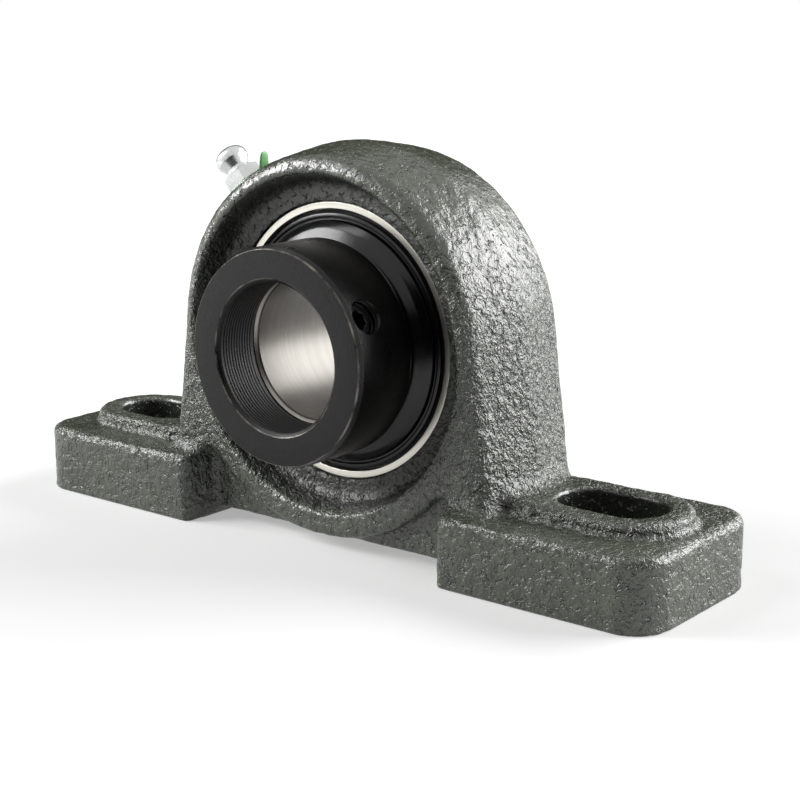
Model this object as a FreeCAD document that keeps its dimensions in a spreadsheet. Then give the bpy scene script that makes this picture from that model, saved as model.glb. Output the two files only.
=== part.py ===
"""Pillow block bearing: cast foot-mounted housing with a self-aligning ball insert and eccentric collar.

Frame: X runs along the base, Y along the shaft with the locking collar on the -Y side, Z is up.
The origin is the centre of the two bolt slots on the base plane. Lengths are millimetres.
"""
import FreeCAD, Part
import math
import os
import Sketcher

doc = FreeCAD.newDocument("pillow_block")

# Driving dimensions: alias, value and meaning
DIMENSIONS = [
    ("base_length", 140.0, "housing length over both feet"),
    ("base_width", 35.5, "foot width along the shaft"),
    ("foot_top", 12.6, "height of the foot's upper face"),
    ("foot_inner", 28.7, "distance from the middle to a foot's inner end"),
    ("foot_outer_round", 7.0, "plan radius of a foot's outer corners"),
    ("foot_inner_round", 2.0, "plan radius of a foot's inner corners"),
    ("foot_edge_round", 1.5, "rounding of a foot's upper edge"),
    ("bolt_spacing", 105.0, "distance between the bolt slots"),
    ("slot_width", 12.0, "bolt slot width"),
    ("slot_length", 19.4, "bolt slot length end to end"),
    ("boss_top", 15.1, "height of the raised land round a slot"),
    ("boss_half_width", 10.4, "half width of that land"),
    ("boss_inner", 33.0, "where the land starts inside the arch"),
    ("boss_edge_round", 1.2, "rounding of the land's upper edge"),
    ("shaft_height", 36.5, "shaft axis above the base"),
    ("arch_radius", 34.8, "outside radius of the arch at the middle plane"),
    ("arch_half_width", 13.5, "half width of the arch along the shaft"),
    ("arch_face_radius", 32.6, "arch radius at its front and rear faces before rounding"),
    ("arch_round", 2.5, "rounding between the arch and its faces"),
    ("leg_lean", 7.5, "angle in degrees that the legs lean outwards"),
    ("leg_inner", 21.0, "inner side of the legs, from the shaft axis"),
    ("leg_length", 37.0, "length of the legs along their lean"),
    ("underside", 2.0, "height of the raised underside between the feet"),
    ("web_top", 24.0, "top of the filling between the legs"),
    ("pocket_top", 14.0, "top of the corner pockets beside the lower rim"),
    ("pocket_depth", 2.5, "depth of those pockets"),
    ("lower_rim_radius", 34.4, "radius of the rim that shows between the pockets"),
    ("rim_inner_radius", 30.0, "inner radius of the rim at its crest"),
    ("recess_outer_radius", 28.2, "outer radius of the ring-shaped recess floor"),
    ("recess_depth_y", 8.2, "recess floor, measured from the middle plane"),
    ("recess_round", 1.5, "rounding at the outer corner of the recess floor"),
    ("seat_mouth_radius", 25.3, "radius where the seat's edge bevel meets the recess floor"),
    ("seat_edge_y", 7.8, "half width of the spherical seat"),
    ("seat_clearance", 0.04, "clearance between the insert and its seat"),
    ("overrun", 1.0, "how far a cutting profile runs past the solid"),
    ("loading_slot_width", 15.4, "width of the two loading slots at the rear"),
    ("grease_hole_radius", 1.25, "radius of the grease passage"),
    ("insert_radius", 26.0, "spherical outside radius of the insert"),
    ("ring_half_width", 7.5, "half width of the outer ring"),
    ("outer_land_radius", 21.9, "bore radius of the outer ring beside its raceway"),
    ("seal_seat_radius", 23.4, "bore radius of the outer ring at its faces"),
    ("seal_seat_y", 5.2, "where the seal seats begin"),
    ("ring_chamfer", 0.35, "chamfer on the rings' edges"),
    ("grease_groove", 0.8, "depth and half width of the ring's grease groove"),
    ("ring_hole_radius", 0.6, "radius of the grease hole through the ring"),
    ("bore_radius", 12.7, "shaft bore radius, one inch shaft"),
    ("inner_land_radius", 17.0, "outside radius of the inner ring"),
    ("inner_front_y", 15.0, "front end of the inner ring, before the middle plane"),
    ("inner_shoulder_y", 10.7, "start of the eccentric end of the inner ring"),
    ("cam_radius", 15.6, "radius of the eccentric end"),
    ("cam_offset", 0.8, "offset of the eccentric end"),
    ("cam_clearance", 0.35, "play between the eccentric end and the collar"),
    ("bore_chamfer", 0.6, "chamfer at the ends of the bore"),
    ("ball_radius", 3.969, "ball radius"),
    ("ball_circle", 19.5, "radius of the circle of ball centres"),
    ("race_radius", 4.13, "groove radius of both raceways"),
    ("race_clearance", 0.06, "clearance between a ball and each raceway"),
    ("ball_count", 9.0, "number of balls"),
    ("cage_inner_radius", 17.7, "inside radius of the cage"),
    ("cage_outer_radius", 21.2, "outside radius of the cage"),
    ("cage_sheet", 0.7, "sheet thickness of the cage"),
    ("cage_clearance", 0.12, "clearance between a ball and its cage pocket"),
    ("rivet_radius", 0.5, "rivet shank radius"),
    ("rivet_head_radius", 0.95, "rivet head radius"),
    ("rivet_head_height", 0.45, "rivet head height"),
    ("seal_inner_radius", 17.15, "lip radius of the seals"),
    ("seal_outer_radius", 23.3, "outside radius of the seals"),
    ("seal_thickness", 0.9, "thickness of the seals at their rim"),
    ("seal_gap", 0.1, "gap behind a seal"),
    ("seal_lip", 2.0, "radial length of a seal's thin lip"),
    ("flinger_bore_radius", 17.02, "bore radius of both flingers on the inner ring"),
    ("flinger_rim_radius", 22.7, "outside radius of both flingers"),
    ("flinger_sheet", 0.5, "sheet thickness of the flingers"),
    ("flinger_hub_length", 1.7, "length of the front flinger's hub"),
    ("flinger_hub_y", 10.3, "front end of the front flinger's hub"),
    ("flinger_cone_y", 9.7, "small end of the front flinger's cone"),
    ("flinger_foot_y", 7.9, "large end of that cone"),
    ("flinger_ridge_y", 7.35, "bottom of the groove between cone and rim"),
    ("flinger_rim_y", 7.55, "front of the front flinger's rim"),
    ("rear_flinger_y", 6.75, "inner face of the rear flinger"),
    ("collar_radius", 19.05, "outside radius of the locking collar"),
    ("collar_front_y", 24.5, "front face of the collar, before the middle plane"),
    ("collar_rear_y", 10.9, "rear face of the collar, before the middle plane"),
    ("collar_bore_radius", 13.0, "bore radius of the collar"),
    ("collar_drop", 0.25, "how far the loose collar hangs below the shaft axis"),
    ("collar_recess_y", 15.5, "bottom of the collar's eccentric recess"),
    ("collar_edge_inset", 0.45, "radial size of the collar's front bevel"),
    ("collar_edge_length", 1.1, "length of the collar's front bevel"),
    ("collar_bore_bevel", 0.7, "bevel at the mouth of the collar's bore"),
    ("collar_rear_bevel", 0.3, "bevel at the collar's rear edge"),
    ("screw_angle", 27.0, "angle in degrees of the set screw above the X axis"),
    ("screw_y", 20.3, "set screw axis, before the middle plane"),
    ("screw_radius", 2.95, "set screw radius"),
    ("screw_hole_radius", 3.0, "radius of its tapped hole"),
    ("screw_length", 4.6, "set screw length"),
    ("screw_inner_end", 13.35, "distance of its point from the collar's axis"),
    ("screw_socket", 3.0, "width across flats of its socket"),
    ("screw_point", 0.8, "bevel at its point"),
    ("nipple_angle", 43.4, "angle in degrees of the grease nipple from upright"),
    ("nipple_y", 4.0, "nipple axis, before the middle plane"),
    ("nipple_seat", 34.0, "distance of the nipple's spot face from the shaft axis"),
    ("nipple_spot_radius", 4.9, "radius of that spot face"),
    ("nipple_shank_radius", 2.9, "radius of the nipple's shank"),
    ("nipple_shank_length", 5.0, "length of the shank in the housing"),
    ("nipple_hex_width", 7.0, "width across flats of the nipple's hexagon"),
    ("nipple_hex_height", 3.0, "height of the hexagon"),
    ("nipple_height", 8.5, "height of the nipple above its washer"),
    ("nipple_head_radius", 3.1, "largest radius of the nipple's head"),
    ("nipple_neck_radius", 2.2, "radius of the nipple's neck"),
    ("nipple_neck_length", 0.7, "length of the nipple's neck"),
    ("nipple_head_length", 2.6, "length of the nipple's head"),
    ("nipple_bore_radius", 1.1, "radius of the nipple's bore"),
    ("nipple_mouth_radius", 0.5, "radius of the nipple's mouth"),
    ("nipple_wall", 0.6, "thickness of metal over the check ball"),
    ("nipple_crimp", 0.4, "inward crimp that holds the spring"),
    ("check_ball_radius", 0.9, "radius of the nipple's check ball"),
    ("spring_wire_radius", 0.12, "wire radius of the nipple's spring"),
    ("spring_turns", 7.0, "number of its turns"),
    ("washer_radius", 4.3, "outside radius of the nipple's washer"),
    ("washer_thickness", 0.8, "thickness of the washer"),
    ("tab_reach", 2.8, "how far the washer's tab stands out"),
    ("tab_rise", 1.2, "how far the tab's underside rises past the washer"),
    ("tab_thickness", 0.7, "thickness of the tab"),
    ("tab_width", 1.8, "width of the tab"),
]

sheet = doc.addObject("Spreadsheet::Sheet", "Dims")
for row, (alias, value, meaning) in enumerate(DIMENSIONS, start=1):
    sheet.set(f"A{row}", alias)
    sheet.set(f"B{row}", repr(value))
    sheet.set(f"C{row}", meaning)
    sheet.setAlias(f"B{row}", alias)
doc.recompute()

ORIGIN_POINT = (-1, 1)
HORIZONTAL_AXIS = -1
VERTICAL_AXIS = -2
START, END, MIDDLE = 1, 2, 3
X_DIRECTION = FreeCAD.Vector(1, 0, 0)
Y_DIRECTION = FreeCAD.Vector(0, 1, 0)
Z_DIRECTION = FreeCAD.Vector(0, 0, 1)


def size(formula):
    """Value of a formula whose words are aliases of the sheet."""
    result = sheet.evalExpression(bind(formula))
    return float(getattr(result, "Value", result))


def bind(formula):
    """Formula with each alias written the way an expression needs it."""
    text = str(formula)
    words = "".join(c if c.isalnum() or c == "_" else " " for c in text).split()
    for alias, _, _ in DIMENSIONS:
        if alias in words:
            pieces = []
            word = ""
            for c in text + " ":
                if c.isalnum() or c in "_.":
                    word += c
                    continue
                pieces.append("Dims." + alias if word == alias else word)
                pieces.append(c)
                word = ""
            text = "".join(pieces).rstrip()
    return text


def new_body(label):
    body = doc.addObject("PartDesign::Body", label)
    body.Label = label
    return body


def origin_plane(body, role):
    return next(item for item in body.Origin.OriginFeatures if item.Role == role)


def new_sketch(body, name, role="XY_Plane", offset=None, turn=None):
    """Sketch on an origin plane; offset binds the place and turn is its rotation."""
    sketch = body.newObject("Sketcher::SketchObject", name)
    sketch.AttachmentSupport = [(origin_plane(body, role), "")]
    sketch.MapMode = "FlatFace"
    if turn is not None:
        sketch.AttachmentOffset = FreeCAD.Placement(FreeCAD.Vector(), turn)
    for axis, formula in (offset or {}).items():
        sketch.setExpression(f"AttachmentOffset.Base.{axis}", bind(formula))
    return sketch


def locate(sketch, geometry, point, x_formula, y_formula):
    """Dimension one point of a sketch from the sketch's origin."""
    for kind, axis, formula in (("DistanceX", VERTICAL_AXIS, x_formula),
                                ("DistanceY", HORIZONTAL_AXIS, y_formula)):
        if formula is None:
            continue
        value = size(formula)
        if abs(value) < 1e-9:
            sketch.addConstraint(Sketcher.Constraint("PointOnObject", geometry, point, axis))
            continue
        index = sketch.addConstraint(
            Sketcher.Constraint(kind, *ORIGIN_POINT, geometry, point, value))
        sketch.setExpression(f"Constraints[{index}]", bind(formula))


def outline(sketch, corners, centred_arcs=()):
    """Closed outline through corners; a side named in centred_arcs is an arc about the origin."""
    points = [FreeCAD.Vector(size(x), size(y), 0) for x, y in corners]
    count = len(points)
    ends = []
    for index, start in enumerate(points):
        finish = points[(index + 1) % count]
        if index in centred_arcs:
            first = math.atan2(start.y, start.x)
            last = math.atan2(finish.y, finish.x)
            circle = Part.Circle(FreeCAD.Vector(), Z_DIRECTION, start.Length)
            forward = last > first
            low, high = min(first, last), max(first, last)
            geometry = sketch.addGeometry(Part.ArcOfCircle(circle, low, high))
            ends.append((geometry, START if forward else END, END if forward else START))
            level = abs(start.x - finish.x) > abs(start.y - finish.y)
            sketch.addConstraint(Sketcher.Constraint(
                "PointOnObject", geometry, MIDDLE, HORIZONTAL_AXIS if level else VERTICAL_AXIS))
        else:
            geometry = sketch.addGeometry(Part.LineSegment(start, finish))
            ends.append((geometry, START, END))
    for index in range(count):
        this_one, following = ends[index], ends[(index + 1) % count]
        sketch.addConstraint(Sketcher.Constraint(
            "Coincident", this_one[0], this_one[2], following[0], following[1]))
    for (geometry, first, _), (x, y) in zip(ends, corners):
        locate(sketch, geometry, first, x, y)


def ring_outline(sketch, x_formula, y_formula, radius_formula):
    """Circle dimensioned by its centre and radius."""
    circle = Part.Circle(FreeCAD.Vector(size(x_formula), size(y_formula), 0),
                         Z_DIRECTION, size(radius_formula))
    geometry = sketch.addGeometry(circle)
    locate(sketch, geometry, MIDDLE, x_formula, y_formula)
    index = sketch.addConstraint(Sketcher.Constraint("Radius", geometry, size(radius_formula)))
    sketch.setExpression(f"Constraints[{index}]", bind(radius_formula))


def stadium_outline(sketch, x_low, x_high, radius_formula, y_formula="0"):
    """Slot shape along the sketch's horizontal, from centre x_low to centre x_high."""
    low, high, middle = size(x_low), size(x_high), size(y_formula)
    radius = size(radius_formula)
    left = Part.Circle(FreeCAD.Vector(low, middle, 0), Z_DIRECTION, radius)
    right = Part.Circle(FreeCAD.Vector(high, middle, 0), Z_DIRECTION, radius)
    arc_left = sketch.addGeometry(Part.ArcOfCircle(left, math.pi / 2, 3 * math.pi / 2))
    arc_right = sketch.addGeometry(Part.ArcOfCircle(right, -math.pi / 2, math.pi / 2))
    top = sketch.addGeometry(Part.LineSegment(
        FreeCAD.Vector(high, middle + radius, 0), FreeCAD.Vector(low, middle + radius, 0)))
    bottom = sketch.addGeometry(Part.LineSegment(
        FreeCAD.Vector(low, middle - radius, 0), FreeCAD.Vector(high, middle - radius, 0)))
    for first, first_end, second, second_end in (
            (arc_right, END, top, START), (top, END, arc_left, START),
            (arc_left, END, bottom, START), (bottom, END, arc_right, START)):
        sketch.addConstraint(Sketcher.Constraint("Tangent", first, first_end, second, second_end))
    locate(sketch, arc_left, MIDDLE, x_low, y_formula)
    locate(sketch, arc_right, MIDDLE, x_high, None)
    index = sketch.addConstraint(Sketcher.Constraint("Radius", arc_left, radius))
    sketch.setExpression(f"Constraints[{index}]", bind(radius_formula))


def volume(body):
    doc.recompute()
    return body.Shape.Volume


def pad(body, sketch, length, both_ways=False, reverse=False):
    before = body.Shape.Volume if body.Tip else 0.0
    feature = body.newObject("PartDesign::Pad", sketch.Name + "_pad")
    feature.Profile = sketch
    feature.Reversed = reverse
    feature.Midplane = both_ways
    feature.setExpression("Length", bind(length))
    if volume(body) <= before:
        raise RuntimeError(f"{feature.Name} adds nothing")
    return feature


def cut(body, sketch, length, both_ways=False, reverse=False):
    before = body.Shape.Volume
    feature = body.newObject("PartDesign::Pocket", sketch.Name + "_cut")
    feature.Profile = sketch
    feature.Reversed = reverse
    feature.Midplane = both_ways
    feature.setExpression("Length", bind(length))
    if volume(body) >= before:
        raise RuntimeError(f"{feature.Name} cuts nothing")
    return feature


def turned(body, sketch, kind="PartDesign::Revolution"):
    """Full turn of a sketch about its own vertical axis; kind may also be a groove."""
    before = body.Shape.Volume if body.Tip else 0.0
    feature = body.newObject(kind, sketch.Name + "_turn")
    feature.Profile = sketch
    feature.ReferenceAxis = (sketch, ["V_Axis"])
    feature.Angle = 360.0
    if abs(volume(body) - before) < 1e-6:
        raise RuntimeError(f"{feature.Name} changes nothing")
    return feature


def groove(body, sketch):
    return turned(body, sketch, "PartDesign::Groove")


def pick_edges(shape, wanted):
    return [f"Edge{index}" for index, edge in enumerate(shape.Edges, start=1) if wanted(edge)]


def dress(body, kind, name, radius, wanted):
    """Fillet or chamfer of the edges that the test wanted picks out."""
    base = body.Tip
    edges = pick_edges(base.Shape, wanted)
    if not edges:
        raise RuntimeError(f"{name} finds no edge")
    feature = body.newObject(kind, name)
    feature.Base = (base, edges)
    feature.setExpression("Radius" if kind.endswith("Fillet") else "Size", bind(radius))
    doc.recompute()
    if "Invalid" in feature.State or feature.Shape.isNull():
        raise RuntimeError(f"{name} fails on {len(edges)} edges")
    return feature


def fillet(body, name, radius, wanted):
    return dress(body, "PartDesign::Fillet", name, radius, wanted)


def chamfer(body, name, radius, wanted):
    return dress(body, "PartDesign::Chamfer", name, radius, wanted)


def is_circle(edge, radius, place=None, tolerance=0.02):
    """True for a circular edge of this radius, if wanted at this place along the Y axis."""
    if not isinstance(edge.Curve, Part.Circle):
        return False
    if abs(edge.Curve.Radius - radius) > tolerance:
        return False
    return place is None or abs(edge.Curve.Center.y - place) < tolerance


def spread(edge):
    """Lowest and highest corner of an edge's box."""
    box = edge.BoundBox
    return (box.XMin, box.YMin, box.ZMin), (box.XMax, box.YMax, box.ZMax)


def lies_at(edge, axis, value, tolerance=0.02):
    """True for an edge that lies wholly at one value of x, y or z (axis 0, 1 or 2)."""
    low, high = spread(edge)
    return abs(low[axis] - value) < tolerance and abs(high[axis] - value) < tolerance


def on_shaft(body):
    """Put a body, modelled about its own Y axis, on the shaft axis."""
    body.setExpression("Placement.Base.z", bind("shaft_height"))


# Housing: one iron casting
# The hub is turned about the shaft axis, and the legs carry the same section down to the feet.
def build_housing():
    body = new_body("housing")
    body.AllowCompound = True

    feet = new_sketch(body, "feet_plan")
    for side in (1, -1):
        near, far = f"{side} * foot_inner", f"{side} * base_length / 2"
        outline(feet, [(near, "-base_width / 2"), (far, "-base_width / 2"),
                       (far, "base_width / 2"), (near, "base_width / 2")])
    pad(body, feet, "foot_top")
    end = size("base_length / 2")
    inner_end = size("foot_inner")

    def upright(edge, x):
        low, high = spread(edge)
        return high[2] - low[2] > 1 and abs(abs(low[0]) - x) < 0.01 and abs(low[0] - high[0]) < 0.01

    fillet(body, "foot_outer_corners", "foot_outer_round", lambda edge: upright(edge, end))
    fillet(body, "foot_inner_corners", "foot_inner_round", lambda edge: upright(edge, inner_end))
    fillet(body, "foot_upper_edges", "foot_edge_round",
           lambda edge: lies_at(edge, 2, size("foot_top")))

    for side, name in ((1, "right"), (-1, "left")):
        land = new_sketch(body, f"{name}_land_plan", offset={"z": "foot_top / 2"})
        ends = sorted((f"{side} * (bolt_spacing / 2 + slot_length / 2 - slot_width / 2)",
                       f"{side} * (boss_inner + 10)"), key=size)
        stadium_outline(land, ends[0], ends[1], "boss_half_width")
        pad(body, land, "boss_top - foot_top / 2")
    fillet(body, "land_upper_edges", "boss_edge_round",
           lambda edge: lies_at(edge, 2, size("boss_top")))

    hub = new_sketch(body, "hub_section", offset={"z": "shaft_height"})
    outline(hub, [("0", "-arch_half_width"), ("arch_face_radius", "-arch_half_width"),
                  ("arch_radius", "0"), ("arch_face_radius", "arch_half_width"),
                  ("0", "arch_half_width")])
    turned(body, hub)

    for side, name in ((1, "right"), (-1, "left")):
        lean = FreeCAD.Rotation(Y_DIRECTION, -side * size("leg_lean"))
        leg = new_sketch(body, f"{name}_leg_section", offset={"z": "shaft_height"}, turn=lean)
        outline(leg, [(f"{side} * leg_inner", "-arch_half_width"),
                      (f"{side} * arch_face_radius", "-arch_half_width"),
                      (f"{side} * arch_radius", "0"),
                      (f"{side} * arch_face_radius", "arch_half_width"),
                      (f"{side} * leg_inner", "arch_half_width")])
        pad(body, leg, "leg_length", reverse=True)

    web = new_sketch(body, "web_front", "XZ_Plane")
    outline(web, [("-foot_inner - 1", "underside"), ("foot_inner + 1", "underside"),
                  ("foot_inner + 1", "web_top"), ("-foot_inner - 1", "web_top")])
    pad(body, web, "2 * arch_half_width", both_ways=True)

    def on_faces(edge):
        return abs(abs(spread(edge)[0][1]) - size("arch_half_width")) < 0.01 and \
            abs(spread(edge)[0][1] - spread(edge)[1][1]) < 0.01

    def from_shaft(edge):
        """Distance of a straight edge, or radius of a circular one, from the shaft axis."""
        if isinstance(edge.Curve, Part.Circle):
            return edge.Curve.Radius
        first, last = edge.Vertexes[0].Point, edge.Vertexes[-1].Point
        along = (last - first).normalize()
        gap = first - FreeCAD.Vector(0, first.y, size("shaft_height"))
        return gap.cross(along).Length

    fillet(body, "arch_edges", "arch_round",
           lambda edge: on_faces(edge) and abs(from_shaft(edge) - size("arch_face_radius")) < 0.02)

    rim_x = "sqrt(lower_rim_radius ^ 2 - (shaft_height - pocket_top) ^ 2)"
    top = "pocket_top - shaft_height"
    for side, name in ((1, "front"), (-1, "rear")):
        pockets = new_sketch(body, f"{name}_corner_pockets", "XZ_Plane",
                             offset={"y": "shaft_height", "z": f"{side} * arch_half_width"})
        outline(pockets, [(f"-{rim_x}", top), (rim_x, top), ("foot_inner", top),
                          ("foot_inner", "-shaft_height"), ("-foot_inner", "-shaft_height"),
                          ("-foot_inner", top)], centred_arcs=(0,))
        cut(body, pockets, "pocket_depth", reverse=side < 0)

    under = new_sketch(body, "underside_plan")
    front, rear = "-arch_half_width - overrun", "arch_half_width + overrun"
    outline(under, [("-foot_inner", front), ("foot_inner", front),
                    ("foot_inner", rear), ("-foot_inner", rear)])
    cut(body, under, "underside", reverse=True)

    for side, name in ((-1, "front"), (1, "rear")):
        recess = new_sketch(body, f"{name}_recess_section", offset={"z": "shaft_height"})
        outline(recess, [("0", f"{side} * (arch_half_width + overrun)"),
                         ("rim_inner_radius", f"{side} * (arch_half_width + overrun)"),
                         ("rim_inner_radius", f"{side} * arch_half_width"),
                         ("recess_outer_radius", f"{side} * recess_depth_y"),
                         ("seat_mouth_radius", f"{side} * recess_depth_y"),
                         ("sqrt(insert_radius ^ 2 - seat_edge_y ^ 2)", f"{side} * seat_edge_y"),
                         ("0", f"{side} * seat_edge_y")])
        groove(body, recess)
    seat = new_sketch(body, "seat_section", offset={"z": "shaft_height"})
    outline(seat, [("0", "-insert_radius - seat_clearance"), ("0", "insert_radius + seat_clearance")],
            centred_arcs=(0,))
    groove(body, seat)
    for side, name in ((-1, "front"), (1, "rear")):
        floor = side * size("recess_depth_y")
        fillet(body, f"{name}_recess_corner", "recess_round",
               lambda edge: is_circle(edge, size("recess_outer_radius"), place=floor))

    for turn, name in ((0, "right"), (180, "left")):
        loading = new_sketch(body, f"{name}_loading_slot", "XZ_Plane", offset={"y": "shaft_height"},
                             turn=FreeCAD.Rotation(Z_DIRECTION, turn))
        reach = "sqrt((insert_radius + seat_clearance) ^ 2 - (loading_slot_width / 2) ^ 2)"
        low, high = "-loading_slot_width / 2", "loading_slot_width / 2"
        outline(loading, [("outer_land_radius", low), (reach, low), (reach, high),
                          ("outer_land_radius", high)], centred_arcs=(1,))
        cut(body, loading, "recess_depth_y + overrun")

    slots = new_sketch(body, "bolt_slots")
    for side in (1, -1):
        half_run = "(slot_length - slot_width) / 2"
        stadium_outline(slots, f"{side} * bolt_spacing / 2 - {half_run}",
                        f"{side} * bolt_spacing / 2 + {half_run}", "slot_width / 2")
    cut(body, slots, "boss_top + overrun", reverse=True)

    for name, radius, length, outwards in (
            ("spot_face", "nipple_spot_radius", "4 * overrun", True),
            ("nipple_hole", "nipple_shank_radius + 0.03", "nipple_shank_length + nipple_crimp", False),
            ("grease_passage", "grease_hole_radius", "nipple_seat - insert_radius + overrun", False)):
        bore = new_sketch(body, name, offset=nipple_place("nipple_seat"),
                          turn=FreeCAD.Rotation(Y_DIRECTION, -size("nipple_angle")))
        ring_outline(bore, "0", "0", radius)
        cut(body, bore, length, reverse=outwards)
    return body


def nipple_place(distance):
    """Point on the nipple's axis at a distance from the shaft axis."""
    return {"x": f"-sin(nipple_angle) * ({distance})", "y": "-nipple_y",
            "z": f"shaft_height + cos(nipple_angle) * ({distance})"}


def place(body, point, angle_formula):
    """Turn a body about the Y axis and put its origin at a point, both bound to the sheet."""
    turn = FreeCAD.Rotation(Y_DIRECTION, size(angle_formula))
    body.Placement = FreeCAD.Placement(FreeCAD.Vector(), turn)
    body.setExpression("Placement.Rotation.Angle", bind(angle_formula))
    for axis, formula in point.items():
        body.setExpression(f"Placement.Base.{axis}", bind(formula))


def pattern(body, feature, about="Y_Axis"):
    """Repeat a feature once for each ball, round one axis of the body."""
    copies = body.newObject("PartDesign::PolarPattern", feature.Name + "_pattern")
    copies.Originals = [feature]
    copies.Axis = (origin_plane(body, about), [""])
    copies.Angle = 360.0
    copies.Occurrences = int(size("ball_count"))
    body.Tip = copies
    doc.recompute()
    return copies


# Insert: outer ring with a spherical outside, raceway, seal seats and grease groove
def build_outer_ring():
    body = new_body("outer_ring")
    section = new_sketch(body, "outer_ring_section")
    ring_edge = "sqrt(insert_radius ^ 2 - (ring_half_width - ring_chamfer) ^ 2)"
    outline(section, [
        (ring_edge, "ring_chamfer - ring_half_width"), (ring_edge, "ring_half_width - ring_chamfer"),
        (f"{ring_edge} - ring_chamfer", "ring_half_width"), ("seal_seat_radius", "ring_half_width"),
        ("seal_seat_radius", "seal_seat_y"), ("outer_land_radius", "seal_seat_y"),
        ("outer_land_radius", "-seal_seat_y"), ("seal_seat_radius", "-seal_seat_y"),
        ("seal_seat_radius", "-ring_half_width"), (f"{ring_edge} - ring_chamfer", "-ring_half_width")],
        centred_arcs=(0,))
    turned(body, section)
    race = new_sketch(body, "outer_race_section")
    ring_outline(race, "ball_circle + ball_radius + race_clearance - race_radius", "0", "race_radius")
    groove(body, race)
    grease = new_sketch(body, "grease_groove_section")
    floor, outside = "insert_radius - grease_groove", "insert_radius + overrun"
    near, far = "-nipple_y - grease_groove", "-nipple_y + grease_groove"
    outline(grease, [(floor, near), (outside, near), (outside, far), (floor, far)])
    groove(body, grease)
    hole = new_sketch(body, "grease_hole", turn=FreeCAD.Rotation(Y_DIRECTION, -size("nipple_angle")))
    ring_outline(hole, "0", "-nipple_y", "ring_hole_radius")
    cut(body, hole, "insert_radius + overrun", reverse=True)
    on_shaft(body)
    return body


# Insert: inner ring, long at the front, where an eccentric end takes the collar
def build_inner_ring():
    body = new_body("inner_ring")
    section = new_sketch(body, "inner_ring_section")
    outline(section, [
        ("bore_radius", "-inner_shoulder_y"), ("inner_land_radius", "-inner_shoulder_y"),
        ("inner_land_radius", "ring_half_width - ring_chamfer"),
        ("inner_land_radius - ring_chamfer", "ring_half_width"),
        ("bore_radius + bore_chamfer", "ring_half_width"),
        ("bore_radius", "ring_half_width - bore_chamfer")])
    turned(body, section)
    cam = new_sketch(body, "cam_face", "XZ_Plane", offset={"z": "inner_shoulder_y"})
    ring_outline(cam, "0", "cam_offset", "cam_radius")
    ring_outline(cam, "0", "0", "bore_radius")
    pad(body, cam, "inner_front_y - inner_shoulder_y")
    race = new_sketch(body, "inner_race_section")
    ring_outline(race, "ball_circle - ball_radius - race_clearance + race_radius", "0", "race_radius")
    groove(body, race)
    chamfer(body, "front_bore_bevel", "bore_chamfer", lambda edge: is_circle(
        edge, size("bore_radius"), place=-size("inner_front_y")))
    on_shaft(body)
    return body


def build_balls():
    """One ball after another round the ball circle."""
    balls = []
    count = int(size("ball_count"))
    for index in range(count):
        ball = doc.addObject("Part::Sphere", f"ball_{index + 1}")
        angle = f"{index} * 360 / ball_count"
        ball.setExpression("Radius", bind("ball_radius"))
        ball.setExpression("Placement.Base.x", bind(f"ball_circle * cos({angle})"))
        ball.setExpression("Placement.Base.z", bind(f"shaft_height + ball_circle * sin({angle})"))
        balls.append(ball)
    return balls


def half_disc(body, name, radius):
    """Half disc on the ball circle that turns into a sphere about its own vertical axis."""
    sketch = new_sketch(body, name, offset={"x": "ball_circle"})
    outline(sketch, [("0", f"-({radius})"), ("0", radius)], centred_arcs=(0,))
    return sketch


# Cage: two pressed halves, flat between the balls and cupped over them
def build_cage_half(label, side):
    body = new_body(label)
    flat = new_sketch(body, label + "_flat")
    face = f"{side} * cage_sheet"
    outline(flat, [("cage_inner_radius", "0"), ("cage_outer_radius", "0"),
                   ("cage_outer_radius", face), ("cage_inner_radius", face)])
    turned(body, flat)
    cup = turned(body, half_disc(body, label + "_cup", "ball_radius + cage_clearance + cage_sheet"))
    pattern(body, cup)
    for name, low, high in (("inner_trim", "0", "cage_inner_radius"),
                            ("outer_trim", "cage_outer_radius", "insert_radius")):
        trim = new_sketch(body, f"{label}_{name}")
        outline(trim, [(low, "-ring_half_width"), (high, "-ring_half_width"),
                       (high, "ring_half_width"), (low, "ring_half_width")])
        groove(body, trim)
    window = groove(body, half_disc(body, label + "_window", "ball_radius + cage_clearance"))
    pattern(body, window)
    other_side = new_sketch(body, label + "_parting", "XZ_Plane")
    ring_outline(other_side, "0", "0", "insert_radius")
    cut(body, other_side, "ring_half_width", reverse=side > 0)
    hole = new_sketch(body, label + "_rivet_hole", "XZ_Plane",
                      turn=FreeCAD.Rotation(Z_DIRECTION, 180 / size("ball_count")))
    ring_outline(hole, "ball_circle", "0", "rivet_radius")
    pattern(body, cut(body, hole, "4 * cage_sheet", both_ways=True))
    on_shaft(body)
    return body


def build_rivets():
    body = new_body("cage_rivets")
    body.AllowCompound = True
    between_balls = FreeCAD.Rotation(Z_DIRECTION, 180 / size("ball_count"))
    shank = new_sketch(body, "rivet_shank", "XZ_Plane", turn=between_balls)
    ring_outline(shank, "ball_circle", "0", "rivet_radius")
    pattern(body, pad(body, shank, "2 * (cage_sheet + rivet_head_height)", both_ways=True))
    for side, name in ((1, "front"), (-1, "rear")):
        cap = new_sketch(body, f"rivet_{name}_head", "XZ_Plane",
                         offset={"z": f"{side} * cage_sheet"}, turn=between_balls)
        ring_outline(cap, "ball_circle", "0", "rivet_head_radius")
        pattern(body, pad(body, cap, "rivet_head_height", reverse=side < 0))
    on_shaft(body)
    return body


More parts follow.
